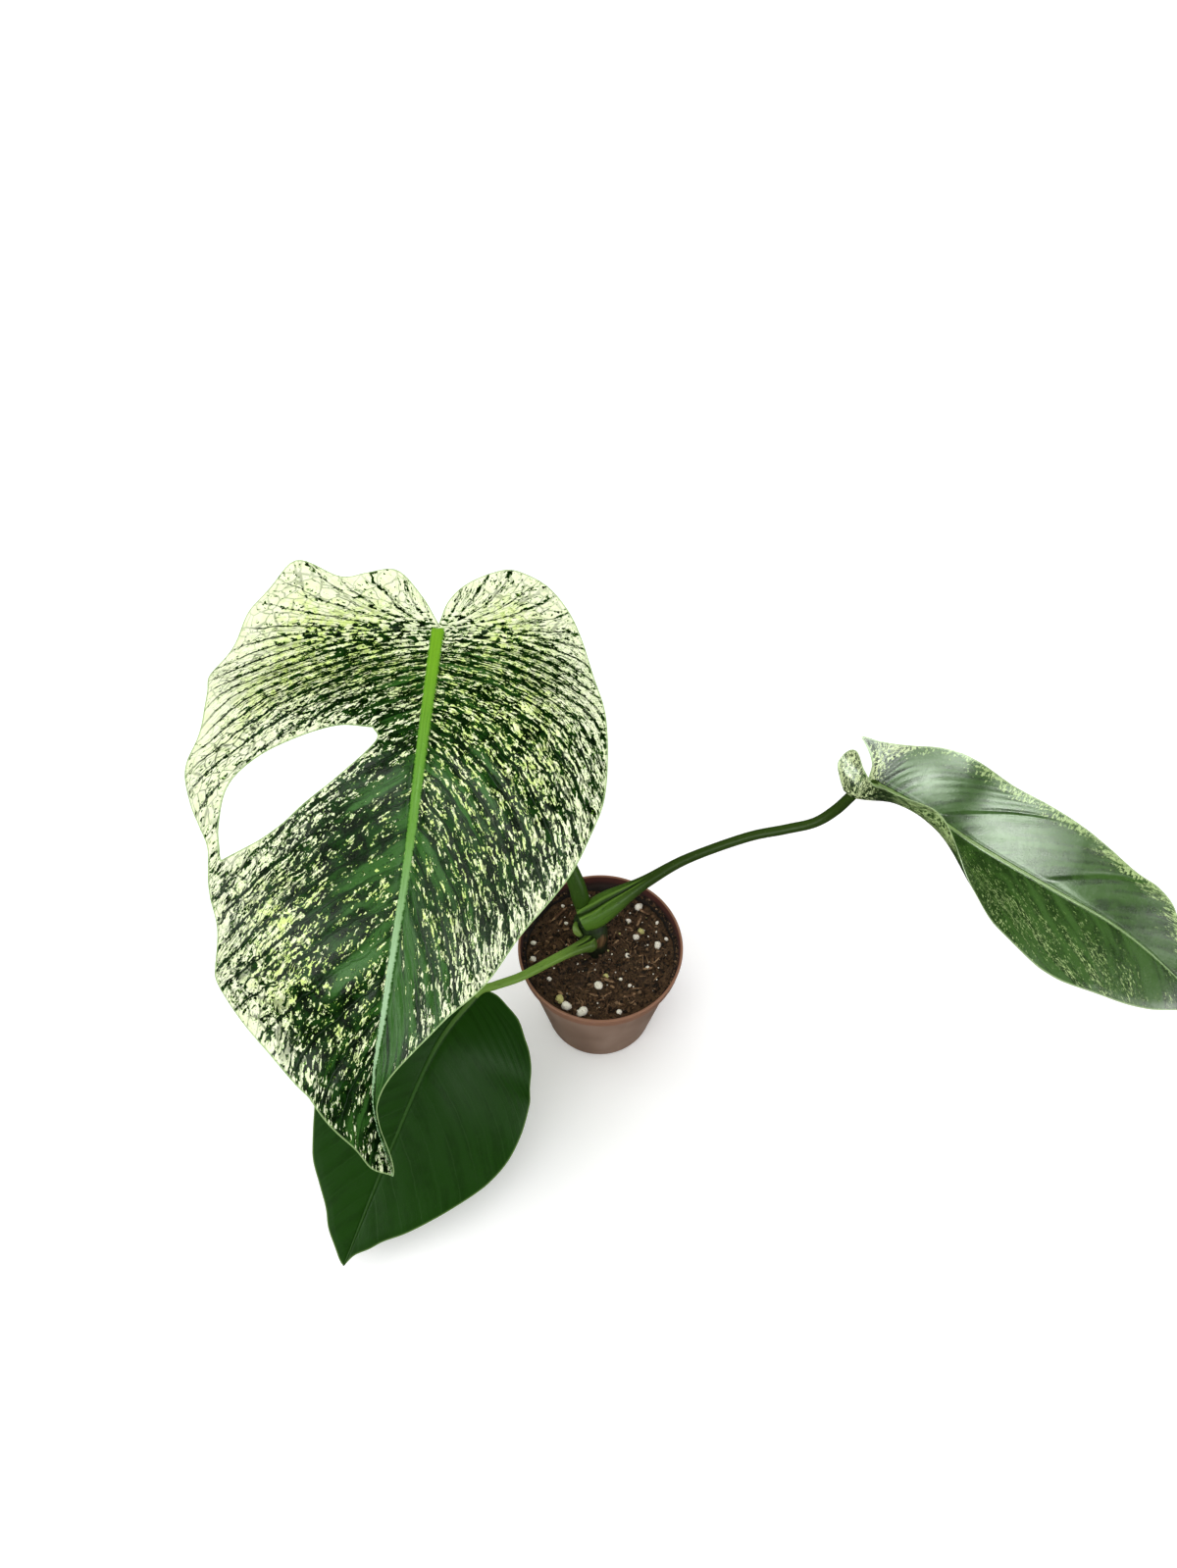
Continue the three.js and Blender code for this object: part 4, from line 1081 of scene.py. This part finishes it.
def pot_material():
    """Matt brown plastic, redder on the collar, with painted shade inside that is darkest lower down"""
    g = Graph("pot_plastic")
    place = g.object_mm()
    x, y, z = g.split(place)
    radius = g.math("SQRT", x * x + y * y)
    drift = g.noise(place, 0.03)
    grain = g.noise(place, 3.0, 3.0, 0.6)
    smudge = g.grain(x * 0.05, y * 0.05, z * 0.012)
    taper = z * ((SHOULDER - FOOT) / (COLLAR_LEVEL - FOOT_ROUND)) + (FOOT - 0.9)
    inner_wall = g.step(0.2, -0.2, radius - taper) * g.step(2.0, 4.0, z)
    inner_collar = g.step(RIM_RADIUS - 1.2, RIM_RADIUS - 1.6, radius) * g.step(68.0, 70.0, z)
    inside = g.clamp(inner_wall + inner_collar)
    colour = g.layers(
        (128, 102, 86), ((146, 120, 103), g.step(0.3, 0.7, drift)),
        ((162, 139, 124), g.step(0.5, 0.75, smudge) * 0.4),
        ((142, 100, 76), g.step(COLLAR_LEVEL - 0.6, COLLAR_LEVEL + 0.4, z)),
        # painted shade inside: dark red-brown near the rim, near black below 70 mm
        (g.mix((36, 18, 13), (84, 30, 21), g.step(70.0, 75.0, z)), inside))
    return g.surface(colour, grain * 0.1 + 0.4 + smudge * 0.08 + inside * 0.4, 0.4, grain, 0.12, 0.08)


pot = new_mesh("pot_shell", *turned(pot_profile(), POT_SIDES))
# Each cutter is turned by half a side, so that no corner of it meets a line of the floor
post, post_faces = turned([(DRAIN_RADIUS, -3), (DRAIN_RADIUS, 6)], CUTTER_SIDES)
post = spun(post, math.pi / CUTTER_SIDES)
angles = TAU * np.arange(DRAIN_HOLES) / DRAIN_HOLES
cutter = new_mesh("drain_cutter", *joined([
    (post + [DRAIN_CIRCLE * math.cos(angle), DRAIN_CIRCLE * math.sin(angle), 0], post_faces)
    for angle in angles]))
holes = pot.modifiers.new("holes", "BOOLEAN")
holes.operation = "DIFFERENCE"
holes.object = cutter
holes.solver = "EXACT"
bpy.context.view_layer.update()
cut_mesh = bpy.data.meshes.new_from_object(pot.evaluated_get(bpy.context.evaluated_depsgraph_get()))
pot.modifiers.clear()
pot.data = cut_mesh
pot.data.name = "pot_shell"
bpy.data.objects.remove(cutter)
pot.data.set_sharp_from_angle(angle=math.radians(40))
finish_piece(pot, ("pot",), "pot_plastic", pot_material())

# ---- potting mix

SOIL_LEVEL = 64.5
# How far out the loose grains lie, and how far out the mix itself reaches
SOIL_EDGE, SOIL_BRIM = SHOULDER - WALL - 1.7, SHOULDER - WALL - 0.55
# The ledge inside the collar: its inner radius and its height there
LEDGE_RADIUS, LEDGE_LEVEL = 41.3, 70.1


def soil_height(x, y):
    mound = 2.2 * np.exp(-(np.hypot(x, y) / 24) ** 2)
    lumps = np.sin(0.41 * x + 1.1) * np.cos(0.37 * y + 0.4) + 0.6 * np.sin(0.83 * x - 0.71 * y)
    return SOIL_LEVEL + mound + 0.7 * lumps + 3.2 * smooth(28, 40, np.hypot(x, y))


def soil_body():
    rings, spokes = 84, 240
    turn = TAU * np.arange(spokes) / spokes
    top = circled(SOIL_BRIM * (1 - np.arange(rings) / rings)[:, None], turn, 0.0)
    flat = top.reshape(-1, 3)
    coarse, crumb, fine = fractal(flat, 6.5), fractal(flat + 50, 2.1), fractal(flat + 90, 0.9, 2)
    relief = 1.1 * coarse + 0.9 * np.abs(crumb) + 0.35 * fine - 0.6
    top[..., 2] = soil_height(top[..., 0], top[..., 1]) + relief.reshape(rings, spokes)
    walls = [
        (FOOT - FOOT_ROUND - 1, 1.7), (FOOT - WALL - 0.5, 6.5), (SOIL_EDGE, 61.0), (SOIL_BRIM - 0.5, 65.6)]
    return loft(np.concatenate([[circled(radius, turn, height) for radius, height in walls], top]))


def soil_material():
    g = Graph("potting_mix")
    place = g.object_mm()
    lump = g.noise(place, 0.28, 3.0, 0.6)
    crumb = g.noise(place, 0.9, 3.0, 0.65)
    fine = g.noise(place, 3.2, 2.0, 0.6)
    colour = g.layers(
        (40, 27, 18), ((92, 68, 46), g.step(0.35, 0.65, crumb * 0.6 + lump * 0.4)),
        ((132, 104, 76), g.step(0.58, 0.7, fine) * 0.6), ((18, 12, 9), g.step(0.45, 0.3, crumb) * 0.6))
    return g.surface(colour, fine * 0.1 + 0.82, 0.2, crumb * 0.6 + fine * 0.4, 0.7, 0.5)


soil = new_mesh("soil_body", *soil_body())
finish_piece(soil, ("soil",), "potting_mix", soil_material())

random = np.random.default_rng(11)


def scatter(count, reach):
    radius = reach * np.sqrt(random.random(count))
    turn = TAU * random.random(count)
    return zip(radius * np.cos(turn), radius * np.sin(turn))


def on_soil(x, y, lift):
    return x, y, float(soil_height(x, y)) + lift


def ball(level):
    mesh = bmesh.new()
    bmesh.ops.create_icosphere(mesh, subdivisions=level, radius=1)
    points = np.array([v.co for v in mesh.verts])
    faces = [[v.index for v in f.verts] for f in mesh.faces]
    mesh.free()
    return points, faces


BALLS = {level: ball(level) for level in (1, 2, 3)}


def lump_at(level, place, size, stretch, rough, seed):
    """An irregular grain"""
    points, faces = BALLS[level]
    wobble = fractal(points + np.array([3.7, 1.3, 2.1]) * seed, 1.1)
    shape = points * (1 + rough * wobble)[:, None] * (size / 2) * np.asarray(stretch)
    return spun(shape, seed) + place, faces


def grain_material(name, size, rough, specular, coats):
    """Dull and pitted; coats says the colours from the graph, the pits' noise and the grain's tone"""
    g = Graph(name)
    pits = g.noise(g.object_mm(), size, 3.0, 0.6)
    colour = g.layers(*coats(g, pits, g.attribute("tone")[0]))
    return g.surface(colour, pits * 0.1 + rough, specular, pits, 0.6, 0.4)


def grain_piece(name, grains, tones, material):
    """One object of many grains, each with a tone from 0 to 1 that its material reads"""
    thing = new_mesh(name, *joined(grains))
    sizes = [len(points) for points, _ in grains]
    set_vectors(thing.data, "tone", np.repeat([[tone, 0, 0] for tone in tones], sizes, axis=0))
    finish_piece(thing, (), "potting_mix", material)


# Grains that show one by one: [x, y, size]
PERLITE = [
    [21.8, 29.9, 4.5], [16, 22.5, 3.2], [23, 15.5, 3.7], [20, 11.5, 3.7], [32, 6.5, 4.3], [15, -0.5, 3.2],
    [-15, 0.5, 2.4], [-1, -18.5, 4.8], [3, -12.5, 3.2], [-28, -14.5, 2.8], [-22, -27.5, 4.8],
    [-18.5, -31.3, 5.2], [-10, -34.5, 5.6], [10, -34.5, 3.2], [-37.2, -3.1, 3.7], [-37, 6.4, 3.0],
    [26, -7.5, 2.4], [-7, 37, 2.7], [16, -18.5, 2.1], [11, -14.5, 2.1], [-21, 31, 2.1], [-19, 20.5, 2.1],
    [32, 19.5, 2.1], [36.8, 9.4, 2.1],
]
YELLOWISH = {(23, 15.5), (3, -12.5), (-22, -27.5)}

perlite_material = grain_material("perlite", 1.4, 0.75, 0.3, lambda g, pits, tone: (
    (252, 246, 230), ((206, 200, 128), tone), ((128, 100, 72), g.step(0.46, 0.3, pits) * 0.8)))
grains, tones = [], []
for i, (x, y, size) in enumerate(PERLITE):
    grains.append(lump_at(3, on_soil(x, y, size * 0.16), size, (1.05, 0.9, 0.78), 0.3, i + 1.0))
    tones.append(float((x, y) in YELLOWISH))
for i, (x, y) in enumerate(scatter(70, SOIL_EDGE - 1.5)):
    size = 0.5 + 1.0 * random.random() ** 2
    grains.append(lump_at(2, on_soil(x, y, 0.5), size, (1, 0.9, 0.8), 0.3, i + 40.0))
    tones.append(float(random.random() < 0.2))
grain_piece("perlite_grains", grains, tones, perlite_material)

crumb_material = grain_material("soil_crumb", 2.2, 0.8, 0.2, lambda g, pits, tone: (
    (34, 23, 15), ((108, 80, 54), g.step(0.2, 1.0, tone)), ((142, 114, 86), g.step(0.88, 0.96, tone) * 0.9),
    ((20, 13, 9), g.step(0.5, 0.35, pits) * 0.6)))
crumbs, shades = [], []
for i, (x, y) in enumerate(scatter(1500, SOIL_EDGE - 0.8)):
    size = 0.8 + 2.0 * random.random() ** 2.2
    stretch = (1, 0.55 + 0.45 * random.random(), 0.5 + 0.4 * random.random())
    crumbs.append(lump_at(1, on_soil(x, y, 0.25 + size * 0.12), size, stretch, 0.5, i * 0.37 + 2.0))
    shades.append(random.random())
# Some lie on the ledge, at both sides
for i in range(420):
    turn = (random.random() - 0.5) * 2.3 + (math.pi if i % 3 == 0 else 0)
    out = 1.5 * random.random()
    size = 0.8 + 1.1 * random.random()
    reach = LEDGE_RADIUS + out
    place = (reach * math.cos(turn), reach * math.sin(turn), LEDGE_LEVEL + out * 0.82)
    crumbs.append(lump_at(1, place, size, (1, 0.8, 0.7), 0.4, i * 0.53 + 1.0))
    shades.append(random.random())
grain_piece("soil_crumbs", crumbs, shades, crumb_material)

# Bark slivers and fibres: [x, y, length, turn in degrees]
BARK = [[-23, 25, 12, 45], [25, 26, 7, -35], [22, 21.5, 7, 70], [15, -24, 8, 10], [4, -15.5, 9, -20]]


def sliver(x, y, length, turn, width, thick, tilt, seed):
    """A flat splinter with ragged ends"""
    share = np.linspace(-0.5, 0.5, 14)[:, None]
    bow = 0.06 * length * (share * 2) ** 2 * math.sin(seed)
    taper = np.clip(1.1 - np.abs(share * 2) ** 3, 0.15, 1)
    corner = TAU * np.arange(8)[None] / 8
    wobble = 1 + 0.25 * np.sin(corner * 3 + share * 9 + seed)
    rings = np.stack(np.broadcast_arrays(
        share * length, bow + 0.5 * width * taper * wobble * np.cos(corner),
        share * length * math.sin(tilt) + 0.5 * thick * taper * np.sin(corner)), -1)
    return loft(spun(rings, math.radians(turn)) + on_soil(x, y, 1.0))


bark_material = grain_material("bark", 1.8, 0.75, 0.2, lambda g, pits, tone: (
    (88, 62, 42), ((166, 132, 98), g.step(0.4, 0.6, g.noise(g.object_mm(), 0.2))),
    ((44, 30, 20), g.step(0.5, 0.35, pits) * 0.7)))
chips = [sliver(x, y, length, turn, 1.7, 0.9, 0.06, i) for i, (x, y, length, turn) in enumerate(BARK)]
for i, (x, y) in enumerate(scatter(55, SOIL_EDGE - 4)):
    chips.append(sliver(x, y, 2 + 4 * random.random(), 360 * random.random(), 0.5 + 1.2 * random.random(),
                        0.4 + 0.5 * random.random(), 0.3 * (random.random() - 0.5), i + 7))
for i, (x, y) in enumerate(scatter(70, SOIL_EDGE - 4)):
    chips.append(sliver(x, y, 3 + 7 * random.random(), 360 * random.random(), 0.28, 0.25,
                        0.25 * (random.random() - 0.5), i + 80))
bark = new_mesh("bark_chips", *joined(chips))
finish_piece(bark, (), "potting_mix", bark_material)

# ---- stage and light

floor_mesh = bpy.data.meshes.new("floor")
floor_mesh.from_pydata([(-4, -4, 0), (4, -4, 0), (4, 4, 0), (-4, 4, 0)], [], [(0, 1, 2, 3)])
floor = bpy.data.objects.new("floor", floor_mesh)
scene.collection.objects.link(floor)
paper = Graph("floor_paper")
paper_tone = paper.mix((250, 250, 250), (253, 253, 253), paper.noise(paper.object_mm(), 0.02))
floor_mesh.materials.append(paper.surface(
    paper_tone, 0.9, 0.1, Emission_Color=(1, 1, 1, 1), Emission_Strength=0.12))
floor.visible_glossy = False


def lamp(name, data, ray):
    """Hangs a light that shines along a ray"""
    thing = bpy.data.objects.new(name, data)
    thing.rotation_euler = Vector(ray).to_track_quat("-Z", "Y").to_euler()
    scene.collection.objects.link(thing)
    return thing


sun_data = bpy.data.lights.new("sun", "SUN")
sun_data.energy = 2.0
sun_data.angle = math.radians(60)
lamp("sun", sun_data, (0.3, 0.15, -1)).visible_glossy = False

world = bpy.data.worlds.new("world")
scene.world = world
world.use_nodes = True
world.node_tree.nodes["Background"].inputs["Color"].default_value = (1, 1, 1, 1)
world.node_tree.nodes["Background"].inputs["Strength"].default_value = 0.68
world.cycles_visibility.glossy = False

# Windows that only the gloss sees: place, target, size, power and colour
GLOW, WHITE = (0.89, 1.0, 0.86), (1, 1, 1)
WINDOWS = {
    "left_window": ((-0.7, -0.9, 0.62), (-0.11, -0.07, 0.23), (0.36, 0.34), 7.0, GLOW),
    "near_window": ((-0.25, -0.34, 0.82), (0.14, 0.02, 0.21), (0.3, 0.26), 3.2, GLOW),
    "right_window": ((0.47, -0.63, 0.78), (0.2, -0.01, 0.19), (0.5, 0.3), 5.4, GLOW),
    "low_window": ((-0.08, -0.29, 0.41), (-0.07, -0.07, 0.075), (0.1, 0.06), 0.3, GLOW),
    "pot_window": ((-1.0, -0.5, 0.25), (0, 0, 0.04), (0.4, 0.5), 6.0, WHITE),
    "far_window": ((1.0, -0.5, 0.25), (0, 0, 0.04), (0.4, 0.5), 3.0, WHITE),
}
for name, (place, target, size, power, colour) in WINDOWS.items():
    data = bpy.data.lights.new(name, "AREA")
    data.shape = "RECTANGLE"
    data.size, data.size_y = size
    data.energy = power
    data.color = colour
    window = lamp(name, data, Vector(target) - Vector(place))
    window.location = place
    window.visible_diffuse = False

scene.view_settings.view_transform = "Standard"
scene.view_settings.look = "None"
